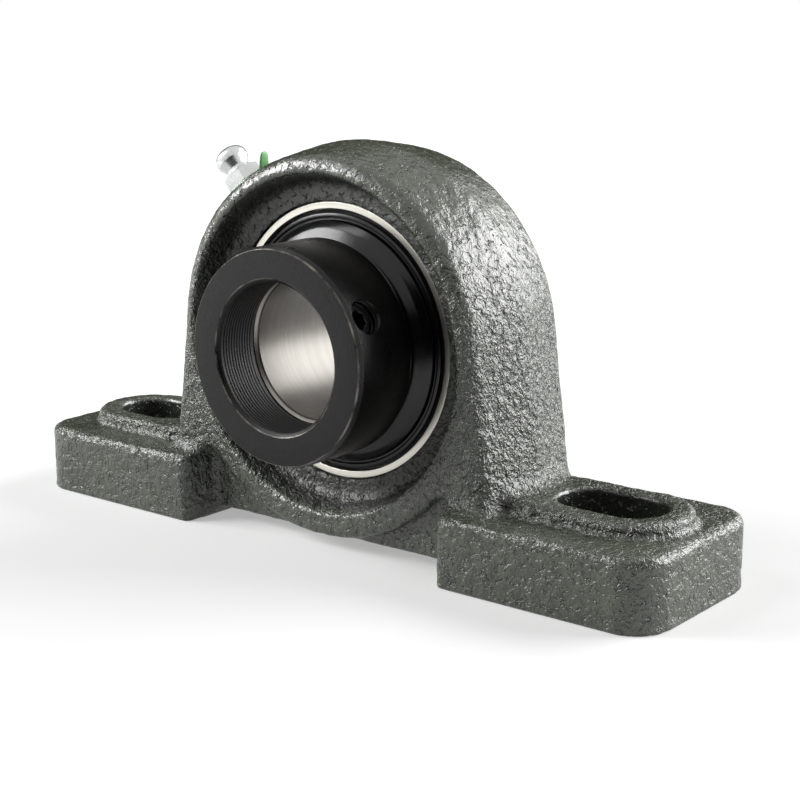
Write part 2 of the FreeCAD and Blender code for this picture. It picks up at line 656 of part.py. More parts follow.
# Seals sit in the outer ring, and flingers turn with the inner ring in front of them
def build_seal(label, side):
    body = new_body(label)
    section = new_sketch(body, label + "_section")
    inner_face = "(seal_seat_y + seal_gap)"
    outer_face = "(seal_seat_y + seal_gap + seal_thickness)"
    outline(section, [("seal_outer_radius", f"{side} * {inner_face}"),
                      ("seal_outer_radius", f"{side} * {outer_face}"),
                      ("seal_inner_radius + seal_lip", f"{side} * {outer_face}"),
                      ("seal_inner_radius", f"{side} * ({outer_face} - 2 * seal_gap)"),
                      ("seal_inner_radius", f"{side} * ({inner_face} + 3 * seal_gap)"),
                      ("seal_inner_radius + seal_lip", f"{side} * {inner_face}")])
    turned(body, section)
    on_shaft(body)
    return body


def build_front_flinger():
    body = new_body("front_flinger")
    section = new_sketch(body, "front_flinger_section")
    outline(section, [
        ("flinger_bore_radius", "flinger_hub_length - flinger_hub_y"),
        ("flinger_bore_radius", "-flinger_hub_y"),
        ("flinger_bore_radius + flinger_sheet", "-flinger_hub_y"),
        ("flinger_bore_radius + 2 * flinger_sheet", "-flinger_cone_y"),
        ("flinger_rim_radius - 3 * flinger_sheet", "-flinger_foot_y"),
        ("flinger_rim_radius - 2.4 * flinger_sheet", "-flinger_ridge_y"),
        ("flinger_rim_radius - 1.6 * flinger_sheet", "-flinger_ridge_y"),
        ("flinger_rim_radius - flinger_sheet", "-flinger_rim_y - 0.4 * flinger_sheet"),
        ("flinger_rim_radius", "-flinger_rim_y"), ("flinger_rim_radius", "flinger_sheet - flinger_rim_y"),
        ("flinger_rim_radius - 3 * flinger_sheet", "1.6 * flinger_sheet - flinger_foot_y"),
        ("flinger_bore_radius + 2 * flinger_sheet", "1.3 * flinger_sheet - flinger_cone_y")])
    turned(body, section)
    on_shaft(body)
    return body


def build_rear_flinger():
    body = new_body("rear_flinger")
    section = new_sketch(body, "rear_flinger_section")
    dish = "flinger_sheet / 2"
    outline(section, [
        ("flinger_bore_radius", "rear_flinger_y"), ("flinger_rim_radius - 1", "rear_flinger_y"),
        ("flinger_rim_radius", f"rear_flinger_y + {dish}"),
        ("flinger_rim_radius", f"rear_flinger_y + flinger_sheet + {dish}"),
        ("flinger_rim_radius - 1", "rear_flinger_y + flinger_sheet"),
        ("flinger_bore_radius", "rear_flinger_y + flinger_sheet")])
    turned(body, section)
    on_shaft(body)
    return body


# Eccentric locking collar: its recess wedges on the inner ring's end when it is turned
def build_collar():
    body = new_body("locking_collar")
    section = new_sketch(body, "collar_section")
    outline(section, [
        ("collar_bore_radius", "-collar_rear_y"),
        ("collar_radius - collar_rear_bevel", "-collar_rear_y"),
        ("collar_radius", "-collar_rear_y - collar_rear_bevel"),
        ("collar_radius", "collar_edge_length - collar_front_y"),
        ("collar_radius - collar_edge_inset", "-collar_front_y"),
        ("collar_bore_radius + collar_bore_bevel", "-collar_front_y"),
        ("collar_bore_radius", "collar_bore_bevel - collar_front_y")])
    turned(body, section)
    recess = new_sketch(body, "collar_recess", "XZ_Plane", offset={"z": "collar_rear_y"})
    ring_outline(recess, "0", "cam_offset", "cam_radius + cam_clearance")
    cut(body, recess, "collar_recess_y - collar_rear_y", reverse=True)
    hole = new_sketch(body, "collar_screw_hole", "YZ_Plane",
                      turn=FreeCAD.Rotation(X_DIRECTION, -size("screw_angle")))
    ring_outline(hole, "-screw_y", "0", "screw_hole_radius")
    cut(body, hole, "collar_radius + overrun", reverse=True)
    body.setExpression("Placement.Base.z", bind("shaft_height - collar_drop"))
    return body


def hexagon(sketch, width_formula):
    """Regular hexagon about the sketch's origin, two corners on its horizontal axis."""
    corner = f"({width_formula}) / sqrt(3)"
    outline(sketch, [(f"{corner} * cos({60 * k})", f"{corner} * sin({60 * k})") for k in range(6)])


def build_set_screw():
    body = new_body("collar_set_screw")
    blank = new_sketch(body, "screw_blank")
    ring_outline(blank, "0", "0", "screw_radius")
    pad(body, blank, "screw_length")
    chamfer(body, "point_bevel", "screw_point", lambda edge: lies_at(edge, 2, 0.0))
    socket = new_sketch(body, "screw_socket", offset={"z": "screw_length"})
    hexagon(socket, "screw_socket")
    cut(body, socket, "screw_length / 2")
    place(body, {"x": "screw_inner_end * cos(screw_angle)", "y": "-screw_y",
                 "z": "shaft_height - collar_drop + screw_inner_end * sin(screw_angle)"},
          "90 - screw_angle")
    return body


# Grease nipple: body with hexagon, check ball, spring and a plastic washer with a lifting tab
def build_nipple():
    body = new_body("nipple_body")
    section = new_sketch(body, "nipple_section", "XZ_Plane")
    seat, top = "washer_thickness", "(washer_thickness + nipple_height)"
    neck = f"({seat} + nipple_hex_height + nipple_crimp)"
    outline(section, [
        ("nipple_bore_radius - nipple_crimp", "-nipple_shank_length"),
        ("nipple_shank_radius", "-nipple_shank_length"),
        ("nipple_shank_radius", seat),
        ("nipple_shank_radius", f"{seat} + nipple_hex_height"),
        ("nipple_neck_radius", neck),
        ("nipple_neck_radius", f"{neck} + nipple_neck_length"),
        ("nipple_head_radius", f"{top} - nipple_head_length"),
        ("nipple_head_radius", f"{top} - 0.7 * nipple_head_length"),
        ("0.7 * nipple_head_radius", f"{top} - 0.2 * nipple_head_length"),
        ("0.4 * nipple_head_radius", top),
        ("nipple_mouth_radius", top), ("nipple_mouth_radius", f"{top} - nipple_wall"),
        ("nipple_bore_radius", f"{top} - nipple_wall"),
        ("nipple_bore_radius", "nipple_crimp - nipple_shank_length"),
        ("nipple_bore_radius - nipple_crimp", "nipple_crimp - nipple_shank_length")])
    turned(body, section)
    hexagon_plan = new_sketch(body, "nipple_hexagon", offset={"z": seat})
    hexagon(hexagon_plan, "nipple_hex_width")
    ring_outline(hexagon_plan, "0", "0", "nipple_bore_radius + nipple_crimp")
    pad(body, hexagon_plan, "nipple_hex_height")
    place(body, nipple_place("nipple_seat"), "-nipple_angle")
    return body


def build_nipple_check():
    """Check ball under the mouth of the nipple, and the spring that holds it there."""
    mouth = "nipple_seat + washer_thickness + nipple_height - nipple_wall"
    sunk = "sqrt(check_ball_radius ^ 2 - nipple_mouth_radius ^ 2)"
    centre = f"{mouth} - {sunk} - 0.3 * spring_wire_radius"
    ball = doc.addObject("Part::Sphere", "nipple_check_ball")
    ball.setExpression("Radius", bind("check_ball_radius"))
    for axis, formula in nipple_place(centre).items():
        ball.setExpression(f"Placement.Base.{axis}", bind(formula))

    wire = size("spring_wire_radius")
    low = size("nipple_seat - nipple_shank_length + nipple_crimp") + 1.2 * wire
    high = size(centre) - size("check_ball_radius") + 0.6 * wire
    coil = size("check_ball_radius") - wire
    helix = Part.makeHelix((high - low) / size("spring_turns"), high - low, coil)
    profile = Part.Wire(Part.makeCircle(wire, FreeCAD.Vector(coil, 0, 0), Y_DIRECTION))
    spring = doc.addObject("Part::Feature", "nipple_spring")
    spring.Shape = Part.Wire(helix).makePipeShell([profile], True, True)
    foot = nipple_place(str(low))
    spring.Placement = FreeCAD.Placement(FreeCAD.Vector(*(size(foot[axis]) for axis in "xyz")),
                                         FreeCAD.Rotation(Y_DIRECTION, -size("nipple_angle")))
    return [ball, spring]


def build_nipple_washer():
    body = new_body("nipple_washer")
    plan = new_sketch(body, "washer_plan")
    ring_outline(plan, "0", "0", "washer_radius")
    ring_outline(plan, "0", "0", "nipple_shank_radius + 0.05")
    pad(body, plan, "washer_thickness")
    tab = new_sketch(body, "washer_tab_side", "XZ_Plane")
    inside = "washer_radius - 0.7 * tab_thickness"
    outline(tab, [(inside, "0"), ("washer_radius + 0.7 * tab_thickness", "0"),
                  ("washer_radius + tab_reach", "washer_thickness + tab_rise"),
                  ("washer_radius + tab_reach - 0.2", "washer_thickness + tab_rise + tab_thickness"),
                  ("washer_radius + 0.4 * tab_thickness", "washer_thickness"),
                  (inside, "washer_thickness")])
    pad(body, tab, "tab_width", both_ways=True)
    place(body, nipple_place("nipple_seat"), "-nipple_angle")
    return body


def build_all():
    parts = [build_housing(), build_outer_ring(), build_inner_ring()]
    parts += build_balls()
    parts += [build_cage_half("cage_front_half", -1), build_cage_half("cage_rear_half", 1)]
    parts += [build_rivets()]
    parts += [build_seal("front_seal", -1), build_seal("rear_seal", 1)]
    parts += [build_front_flinger(), build_rear_flinger(), build_collar(), build_set_screw()]
    parts += [build_nipple(), *build_nipple_check(), build_nipple_washer()]
    return parts


def export(parts):
    """Check every object, then write one STEP file for each piece."""
    doc.recompute()
    for item in doc.Objects:
        if "Invalid" in item.State or "Error" in item.State:
            raise RuntimeError(f"{item.Label} failed: {item.State}")
    for piece in parts:
        if piece.Shape.isNull() or not piece.Shape.isValid():
            raise RuntimeError(f"{piece.Label} has no valid shape")
    os.makedirs("parts", exist_ok=True)
    for piece in parts:
        piece.Shape.exportStep(f"parts/{piece.Label}.step")
        print(f"{piece.Label}: {len(piece.Shape.Solids)} solid, {piece.Shape.Volume:.1f} mm3")


export(build_all())
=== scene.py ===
# %% [markdown]
# # A pillow block bearing for the camera
# The real object is a painted iron casting that holds a ball bearing insert. The shape of every
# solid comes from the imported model, which stays fixed. This file gives it the surface of the
# real thing: soft cast corners, ground rings, oxidised steel and a plated grease nipple. Lengths
# are written in millimetres, and MM turns them into the metres of the frame.

# %% Load the fixed frame
import math

import bmesh
import bpy
import numpy as np
from mathutils import Matrix, Vector


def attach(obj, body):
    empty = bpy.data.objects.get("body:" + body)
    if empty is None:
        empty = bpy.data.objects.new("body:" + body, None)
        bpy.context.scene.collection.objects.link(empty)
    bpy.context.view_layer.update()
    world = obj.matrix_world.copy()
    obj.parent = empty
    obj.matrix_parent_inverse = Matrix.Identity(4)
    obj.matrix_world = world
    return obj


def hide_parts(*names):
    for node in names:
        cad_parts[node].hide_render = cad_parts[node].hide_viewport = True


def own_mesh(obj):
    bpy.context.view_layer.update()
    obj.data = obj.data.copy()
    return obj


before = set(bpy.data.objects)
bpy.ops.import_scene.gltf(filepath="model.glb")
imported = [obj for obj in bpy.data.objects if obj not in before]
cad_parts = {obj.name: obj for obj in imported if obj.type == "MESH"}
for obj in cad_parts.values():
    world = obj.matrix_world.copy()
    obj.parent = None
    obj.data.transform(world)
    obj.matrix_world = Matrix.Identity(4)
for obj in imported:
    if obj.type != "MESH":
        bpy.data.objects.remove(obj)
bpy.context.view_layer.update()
MM = 0.001
MM_IN_METRE = 1000.0
SHAFT_HEIGHT = 36.5
COLLAR_HEIGHT = 36.25

# %% [markdown]
# The camera comes first, because each later choice is judged through it. It looks down at the
# collar's side from the right. Its direction is given by two vectors, and the lens follows from
# how large the object stands in a square frame of 800 pixels.

# %% Camera
FRAME_PIXELS = 800
SENSOR_MM = 36.0
FOCAL_PIXELS = 1744.7
CAMERA_TARGET = Vector((7.85, 0.0, 25.63)) * MM
CAMERA_BACK = Vector((0.6054, -0.7605, 0.2348)).normalized()
CAMERA_DISTANCE = 310.8 * MM
CAMERA_ROLL = math.radians(-0.1)

lens = bpy.data.cameras.new("photo_camera")
lens.sensor_width = SENSOR_MM
lens.lens = FOCAL_PIXELS * SENSOR_MM / FRAME_PIXELS
lens.clip_start = 0.01
camera = bpy.data.objects.new("photo_camera", lens)
bpy.context.scene.collection.objects.link(camera)
side = Vector((0, 0, 1)).cross(CAMERA_BACK).normalized()
upright = CAMERA_BACK.cross(side)
turn = Matrix((side, upright, CAMERA_BACK)).transposed() @ Matrix.Rotation(CAMERA_ROLL, 3, "Z")
stand = Matrix.Translation(CAMERA_TARGET + CAMERA_BACK * CAMERA_DISTANCE)
camera.matrix_world = stand @ turn.to_4x4()
bpy.context.scene.camera = camera
print("lens in millimetres:", round(lens.lens, 2))

# %% [markdown]
# A finish is a small network of nodes. Written out node by node it is hard to read, so two small
# classes let it be written as sums instead. `Signal` wraps the output of a node and turns + - *
# and ** into Math nodes. `Finish` is a material, and its one method `node` makes any other node.

# %% Shader maths
class Signal:
    """One output of a node, usable in arithmetic."""

    def __init__(self, finish, socket):
        self.finish = finish
        self.socket = socket

    def maths(self, operation, other=0.0):
        return self.finish.node("ShaderNodeMath", {"operation": operation}, self, other)

    def __add__(self, other):
        return self.maths("ADD", other)

    __radd__ = __add__

    def __sub__(self, other):
        return self.maths("SUBTRACT", other)

    def __rsub__(self, other):
        return self * -1.0 + other

    def __mul__(self, other):
        return self.maths("MULTIPLY", other)

    __rmul__ = __mul__

    def __pow__(self, other):
        return self.maths("POWER", other)

    def __abs__(self):
        return self.maths("ABSOLUTE")

    def below(self, limit):
        return self.maths("LESS_THAN", limit)

    def ramp(self, low, high):
        """0 below low, 1 above high and smooth between them."""
        return self.finish.node("ShaderNodeMapRange", {"interpolation_type": "SMOOTHSTEP"},
                                self, low, high)


print("shader maths ready")

# %% [markdown]
# A finish starts from the Principled shader. What is the same all over is set when the finish is
# made. What changes over the surface is worked out from signals and fed in last, by `set`.

# %% Finish
class Finish:
    """A material whose look is written as expressions."""

    def __init__(self, name, **constants):
        self.material = bpy.data.materials.new(name)
        self.material.use_nodes = True
        self.tree = self.material.node_tree
        self.surface = self.tree.nodes["Principled BSDF"]
        self.set(**constants)

    def feed(self, socket, value):
        if isinstance(value, Signal):
            self.tree.links.new(value.socket, socket)
        elif isinstance(value, tuple) and len(value) == 3 and socket.type == "RGBA":
            socket.default_value = (*value, 1.0)
        else:
            socket.default_value = value

    def node(self, kind, settings, *values, output=0, **named):
        """Any node: its settings first, then its open sockets in order or by name."""
        node = self.tree.nodes.new(kind)
        for setting, value in settings.items():
            setattr(node, setting, value)
        for socket, value in zip([socket for socket in node.inputs if socket.enabled], values):
            self.feed(socket, value)
        for title, value in named.items():
            self.feed(node.inputs[title.replace("_", " ")], value)
        return Signal(self, node.outputs[output])

    def place(self):
        """Object coordinates, in metres."""
        return self.node("ShaderNodeTexCoord", {}, output="Object")

    def part(self, vector, axis):
        """One coordinate of a vector."""
        return self.node("ShaderNodeSeparateXYZ", {}, vector, output=axis)

    def vector_maths(self, operation, *values, **named):
        return self.node("ShaderNodeVectorMath", {"operation": operation}, *values, **named)

    def noise(self, vector, size_mm, detail=3.0, roughness=0.55):
        """Cloudy value whose patches are about size_mm across."""
        return self.node("ShaderNodeTexNoise", {}, Vector=vector, Scale=1.0 / (size_mm * MM),
                         Detail=detail, Roughness=roughness)

    def shift(self, vector, size_mm, reach_mm):
        """Small push in a random direction, so that a regular pattern looks natural."""
        cloud = self.node("ShaderNodeTexNoise", {}, output="Color", Vector=vector,
                          Scale=1.0 / (size_mm * MM))
        centred = self.vector_maths("SUBTRACT", cloud, (0.5, 0.5, 0.5))
        return self.vector_maths("SCALE", centred, Scale=reach_mm * MM)

    def mix(self, factor, first, second):
        """Blend of two colours."""
        return self.node("ShaderNodeMix", {"data_type": "RGBA"}, factor, first, second, output=2)

    def raised(self, height, depth_mm):
        """Normal of a surface whose height runs from 0 to 1 over depth_mm."""
        return self.node("ShaderNodeBump", {}, Strength=1.0, Distance=depth_mm * MM, Height=height)

    def set(self, **sockets):
        """Feed the shader's sockets; gives the finished material."""
        for title, value in sockets.items():
            self.feed(self.surface.inputs[title.replace("_", " ")], value)
        return self.material


print("finish helpers ready")

# %% [markdown]
# Two finishes turn about the shaft: the ground faces and the turned ones. Their lines are rings,
# so they need the distance from the shaft axis and the place along it. Both are worked out from
# Object coordinates, which are metres in the frame of the model.

# %% Coordinates about the shaft
def about_shaft(finish, height_mm=SHAFT_HEIGHT):
    """Radius from the shaft axis and place along it, in millimetres, with the turn about it."""
    metres = finish.place()
    across, along, up = (finish.part(metres, axis) for axis in "XYZ")
    rise = up - height_mm * MM
    radius = (across * across + rise * rise) ** 0.5
    return radius * MM_IN_METRE, along * MM_IN_METRE, rise.maths("ARCTAN2", across)


def ring_lines(finish, radius, along, angle, pitch_mm, waver=0.4):
    """Fine lines that run round the shaft, irregular like a tool's marks."""
    vector = finish.node("ShaderNodeCombineXYZ", {}, radius, along, angle * waver)
    return finish.node("ShaderNodeTexNoise", {}, Vector=vector, Scale=1.0 / pitch_mm,
                       Detail=3.0, Roughness=0.7)


print("shaft axis at", SHAFT_HEIGHT, "mm")

# %% [markdown]
# The casting is iron under a thin glossy green-grey paint. Sand leaves lumps of a few
# millimetres, grains of about one and fine grit on top, with small pits between them. The paint
# is a little lighter where corners are worn. Its colour is paler on the grains and darker between
# them, partly at random and partly as painted shade in the hollows. The pits, the ring-shaped
# recess and the bolt slots are painted darker still, as painted shade. Noise textures of these
# sizes give colour and bump alike, so that light and colour agree. Their coordinates are bent a
# little, because a plain noise shows its lattice on a flat face.

# %% Finish of the casting
SLOT_CENTRE, SLOT_REACH, SLOT_SHADE = 52.5, 3.7, 6.2
RECESS_RIM = (29.0, 30.3)
FOOT_TO_FLANK, FLANK_TO_CROWN = (9.0, 18.0), (44.0, 66.0)
PAINT_DARK, PAINT_PALE = (0.026, 0.031, 0.018), (0.080, 0.089, 0.061)
PAINT_RUBBED = (0.12, 0.125, 0.10)
# Painted shade: near-black colours for the pits, the bolt slots and the ring-shaped recess.
PAINT_PIT_SHADE, PAINT_RECESS_SHADE = (0.005, 0.006, 0.006), (0.003, 0.004, 0.002)
PAINT_RELIEF_MM = 0.95


def paint_places(across, along, up, broad):
    """Masks of the recess and of the bolt slots, which get painted shade, and how coarse the sand
    was.
    """
    rise = up - SHAFT_HEIGHT
    in_recess = 1.0 - ((across * across + rise * rise) ** 0.5).ramp(*RECESS_RIM)
    past_slot = (abs(abs(across) - SLOT_CENTRE) - SLOT_REACH).maths("MAXIMUM", 0.0)
    in_slot = (past_slot * past_slot + along * along).below(SLOT_SHADE ** 2)
    crown = (up + broad * 14.0).ramp(*FLANK_TO_CROWN)
    coarse = 0.45 + up.ramp(*FOOT_TO_FLANK) * 0.5 - crown * 0.76
    return in_recess, in_slot, coarse * (1.0 - in_slot * 0.85)


def cast_paint():
    """Paint over sand-cast iron; its grain fades towards the smoother crown."""
    finish = Finish("cast_green_grey_paint", IOR=1.76)
    place = finish.place()
    across, along, up = (finish.part(place, axis) * MM_IN_METRE for axis in "XYZ")
    bent = finish.vector_maths("ADD", place, finish.shift(place, 1.7, 2.2))
    broad = finish.noise(place, 22.0, 2.0)
    lumps = finish.noise(place, 2.6, 2.0, 0.5)
    grain = finish.noise(bent, 1.2, 2.5, 0.55)
    grit = finish.noise(place, 0.3, 2.0, 0.6)
    pits = finish.noise(bent, 1.0, 1.0).ramp(0.60, 0.72)
    in_recess, in_slot, coarse = paint_places(across, along, up, broad)
    height = lumps * (0.25 + coarse * 0.25) + (grain * 1.15 + grit * 0.16) * coarse - pits * 0.3
    corner = finish.node("ShaderNodeNewGeometry", {}, output="Pointiness").ramp(0.52, 0.62)
    # Paler on the grains and darker between them: partly random variation, partly painted shade in
    # the hollows.
    tone_and_hollow_shade = (broad * 0.3 + lumps * 0.25 + grain * 0.55 + grit * 0.1).ramp(0.4, 0.85)
    colour = finish.mix(tone_and_hollow_shade, PAINT_DARK, PAINT_PALE)
    colour = finish.mix(corner * 0.45, colour, PAINT_RUBBED)
    # Painted shade: pits and bolt slots darkened towards near black, the ring-shaped recess more
    # so.
    colour = finish.mix((pits * 0.7).maths("MAXIMUM", in_slot * 0.7), colour, PAINT_PIT_SHADE)
    colour = finish.mix(in_recess * 0.8, colour, PAINT_RECESS_SHADE)
    rough = 0.19 + broad * 0.06 + grit * 0.1 + pits * 0.2 + in_recess * 0.2
    return finish.set(Base_Color=colour, Roughness=rough,
                      Normal=finish.raised(height, PAINT_RELIEF_MM))


CAST = cast_paint()
print("finish:", CAST.name)

# %% [markdown]
# Bearing steel is ground. The grinding wheel leaves rings too fine to see one by one, but they
# spread a highlight along the ring. The rings are noise that is stretched round the shaft. The
# wall of the bore is darker than the face of the same ring, because little light reaches it.

# %% Finishes of ground and pressed steel
BORE_SHADE = (0.012, 0.011, 0.009)


def ground_steel(name, colour, roughness, pitch_mm, depth_mm, waver=0.4, bore_mm=0.0):
    """Bright steel with lines round the shaft; within bore_mm of the axis it is darker."""
    finish = Finish(name, Metallic=1.0)
    radius, along, angle = about_shaft(finish)
    fine = ring_lines(finish, radius, along, angle, pitch_mm, waver)
    coarse = ring_lines(finish, radius, along, angle, pitch_mm * 7.0)
    darker = tuple(0.72 * part for part in colour)
    tint = finish.mix((fine * 0.6 + coarse * 0.6 - 0.1).ramp(0.25, 0.75), darker, colour)
    tint = finish.mix(radius.below(bore_mm) * 0.7, tint, BORE_SHADE)
    rough = roughness + fine * 0.14 - 0.07 + coarse * 0.06
    return finish.set(Base_Color=tint, Roughness=rough,
                      Normal=finish.raised(fine + coarse * 0.5, depth_mm))


RING_STEEL = ground_steel("ground_ring_steel", (0.80, 0.775, 0.70), 0.30, 0.10, 0.004)
BORE_STEEL = ground_steel("ground_bore_steel", (0.44, 0.42, 0.39), 0.36, 0.10, 0.002,
                          waver=6.0, bore_mm=12.9)
CAGE_STEEL = ground_steel("pressed_cage_steel", (0.52, 0.51, 0.49), 0.34, 0.5, 0.006)
print("bright steels:", RING_STEEL.name, BORE_STEEL.name, CAGE_STEEL.name)

# %% [markdown]
# The collar, its screw and the flingers are blackened in a hot salt bath. Thin bright lines on
# the collar's sharpest rims are painted highlights, given as bright metallic steel. Those rims
# are found by their radius from the collar's axis, which leaves the rest of its face evenly black.

# %% Finishes of blackened steel
# Painted highlight: the colour of the bright lines, and the collar rims that carry them.
RIM_HIGHLIGHT_STEEL = (0.42, 0.39, 0.34)
COLLAR_HIGHLIGHT_RIMS = (13.62, 18.62)


def oxidised_steel(name, ior, colour, roughness, pitch_mm, depth_mm, rims=(),
                   height_mm=SHAFT_HEIGHT, bore_mm=0.0):
    """Black oxide skin with painted highlights along the rims; within bore_mm of the axis it is
    duller.
    """
    finish = Finish(name, IOR=ior)
    radius, along, angle = about_shaft(finish, height_mm)
    place = finish.place()
    lines = ring_lines(finish, radius, along, angle, pitch_mm)
    cloud = finish.noise(place, 3.5, 3.0)
    speck = finish.noise(place, 0.4, 2.0)
    lighter = tuple(5.0 * part for part in colour)
    patches = (cloud * 0.5 + speck * 0.5 + lines * 0.3 - 0.15).ramp(0.3, 0.75)
    rim_highlight = 0.0
    # Painted highlight: a thin bright metallic line along each rim, patchy with the cloud.
    for rim in rims:
        near = 1.0 - abs(radius - rim).ramp(0.04, 0.15)
        rim_highlight = rim_highlight + near * cloud.ramp(0.3, 0.7) * 0.6
    rough = roughness + cloud * 0.16 - 0.08 + speck * 0.12 + radius.below(bore_mm) * 0.22
    tint = finish.mix(rim_highlight, finish.mix(patches, colour, lighter), RIM_HIGHLIGHT_STEEL)
    return finish.set(Base_Color=tint, Metallic=rim_highlight, Roughness=rough,
                      Normal=finish.raised(lines * 0.7 + speck, depth_mm))


COLLAR_BLACK = oxidised_steel("black_oxide_collar", 1.36, (0.0014, 0.0014, 0.0016), 0.25,
                              0.22, 0.04, COLLAR_HIGHLIGHT_RIMS, COLLAR_HEIGHT, bore_mm=13.25)
FLINGER_BLACK = oxidised_steel("black_oxide_sheet", 1.42, (0.001, 0.001, 0.0012), 0.14,
                               0.8, 0.005)
SCREW_BLACK = oxidised_steel("black_oxide_screw", 1.4, (0.001, 0.001, 0.0012), 0.4, 0.3, 0.006)
print("black steels:", COLLAR_BLACK.name, FLINGER_BLACK.name, SCREW_BLACK.name)

# %% [markdown]
# The balls are polished and the nipple is plated with zinc. Both are near mirrors, and a faint
# cloud of noise in colour and roughness keeps them from looking like glass.

# %% Finishes of balls and plating
def polished_ball():
    finish = Finish("polished_ball_steel", Metallic=1.0)
    haze = finish.noise(finish.place(), 0.8, 3.0)
    tint = finish.mix(haze, (0.70, 0.71, 0.73), (0.86, 0.87, 0.88))
    return finish.set(Base_Color=tint, Roughness=0.06 + haze * 0.08,
                      Normal=finish.raised(haze, 0.001))


def zinc_plate():
    """Bright plating, slightly clouded."""
    finish = Finish("bright_zinc_plate", Metallic=0.9)
    cloud = finish.noise(finish.place(), 1.6, 4.0)
    speck = finish.noise(finish.place(), 0.25, 2.0)
    tint = finish.mix(cloud, (0.52, 0.53, 0.54), (0.74, 0.74, 0.73))
    return finish.set(Base_Color=tint, Roughness=0.18 + cloud * 0.12 + speck * 0.06,
                      Normal=finish.raised(cloud * 0.5 + speck, 0.004))


BALL = polished_ball()
ZINC = zinc_plate()
print("mirrors:", BALL.name, ZINC.name)

# %% [markdown]
# Washer, seals and spring need little more: a cloud or a speck of noise changes the colour, and
# the same noise roughens the surface. Only the seals have rings, which come from their mould.

# %% Finishes of plastic, rubber and wire
def green_plastic():
    finish = Finish("green_washer_plastic", IOR=1.49)
    cloud = finish.noise(finish.place(), 2.5, 3.0)
    speck = finish.noise(finish.place(), 0.3, 2.0)
    tint = finish.mix(cloud, (0.10, 0.36, 0.12), (0.30, 0.62, 0.28))
    return finish.set(Base_Color=tint, Roughness=0.35 + speck * 0.2,
                      Normal=finish.raised(speck, 0.01))


def seal_rubber():
    finish = Finish("moulded_seal_rubber", IOR=1.5)
    radius, along, angle = about_shaft(finish)
    lines = ring_lines(finish, radius, along, angle, 0.6)
    speck = finish.noise(finish.place(), 0.3, 3.0)
    tint = finish.mix(speck, (0.012, 0.012, 0.013), (0.03, 0.03, 0.032))
    return finish.set(Base_Color=tint, Roughness=0.5 + speck * 0.2,
                      Normal=finish.raised(lines + speck, 0.01))


def spring_wire():
    finish = Finish("drawn_spring_wire", Metallic=1.0)
    drawn = finish.noise(finish.place(), 0.3, 3.0)
    return finish.set(Base_Color=finish.mix(drawn, (0.5, 0.5, 0.5), (0.68, 0.68, 0.67)),
                      Roughness=0.25 + drawn * 0.15, Normal=finish.raised(drawn, 0.004))


GREEN = green_plastic()
RUBBER = seal_rubber()
WIRE = spring_wire()
print("finishes:", len(bpy.data.materials))

# %% [markdown]
# Most new pieces are turned, so one helper spins a closed section round the shaft axis. A real
# edge is never sharp: each corner of the section is first replaced by a small arc, which catches
# the thin line of light that a photograph of such a part shows.

# %% Rounded sections
STRAIGHT = math.radians(176)


def rounded_section(corners, steps):
    """Closed section of (radius, y, rounding) with an arc of some steps at each corner."""
    points = []
    count = len(corners)
    for index, corner in enumerate(corners):
        here = Vector(corner[:2])
        before = Vector(corners[index - 1][:2]) - here
        after = Vector(corners[(index + 1) % count][:2]) - here
        turn_angle = before.angle(after)
        if corner[2] <= 0 or turn_angle > STRAIGHT:
            points.append(tuple(here))
            continue
        slope = math.tan(turn_angle / 2)
        pull = min(corner[2] / slope, 0.45 * before.length, 0.45 * after.length)
        middle = (before.normalized() + after.normalized()).normalized()
        centre = here + middle * (pull * slope / math.sin(turn_angle / 2))
        first = here + before.normalized() * pull - centre
        last = here + after.normalized() * pull - centre
        sweep = first.angle_signed(last)
        for step in range(steps + 1):
            spoke = first.copy()
            spoke.rotate(Matrix.Rotation(-sweep * step / steps, 2))
            points.append(tuple(centre + spoke))
    return points


print("points of a rounded square:",
      len(rounded_section([(0, 0, 1), (8, 0, 1), (8, 8, 1), (0, 8, 1)], 4)))

# %% [markdown]
# Spinning the rounded section gives rings of points, joined by faces of four corners. A closed
# section needs no caps, and one that touches the axis is merged there later.

# %% Turned meshes
def new_mesh(name, vertices, faces):
    mesh = bpy.data.meshes.new(name)
    mesh.from_pydata(vertices, [], faces)
    return mesh


def placed(name, mesh):
    """Object of a mesh, linked to the scene."""
    thing = bpy.data.objects.new(name, mesh)
    bpy.context.scene.collection.objects.link(thing)
    return thing


def turned_mesh(name, section, height, segments, steps):
    """Mesh of a section spun round an axis along Y at a height."""
    section = rounded_section(section, steps)
    count = len(section)
    vertices = []
    for step in range(segments):
        angle = 2 * math.pi * step / segments
        vertices += [(r * math.cos(angle), y, height + r * math.sin(angle)) for r, y in section]
    faces = []
    for step in range(segments):
        here, following = step * count, (step + 1) % segments * count
        for index in range(count):
            beside = (index + 1) % count
            faces.append((here + index, here + beside, following + beside, following + index))
    return new_mesh(name, [tuple(c * MM for c in vertex) for vertex in vertices], faces)


print("turning helpers ready")

# %% [markdown]
# Every mesh is cleaned alike: doubles are merged, faces turned outwards, and edges sharper than
# an angle stay crisp while the rest is smooth. A blank is only cut, or cuts another one. A
# dressed piece rides on a body of the frame, so that it moves with that body's joint.

# %% Blanks and dressed pieces
MERGE_METRES = 1e-7


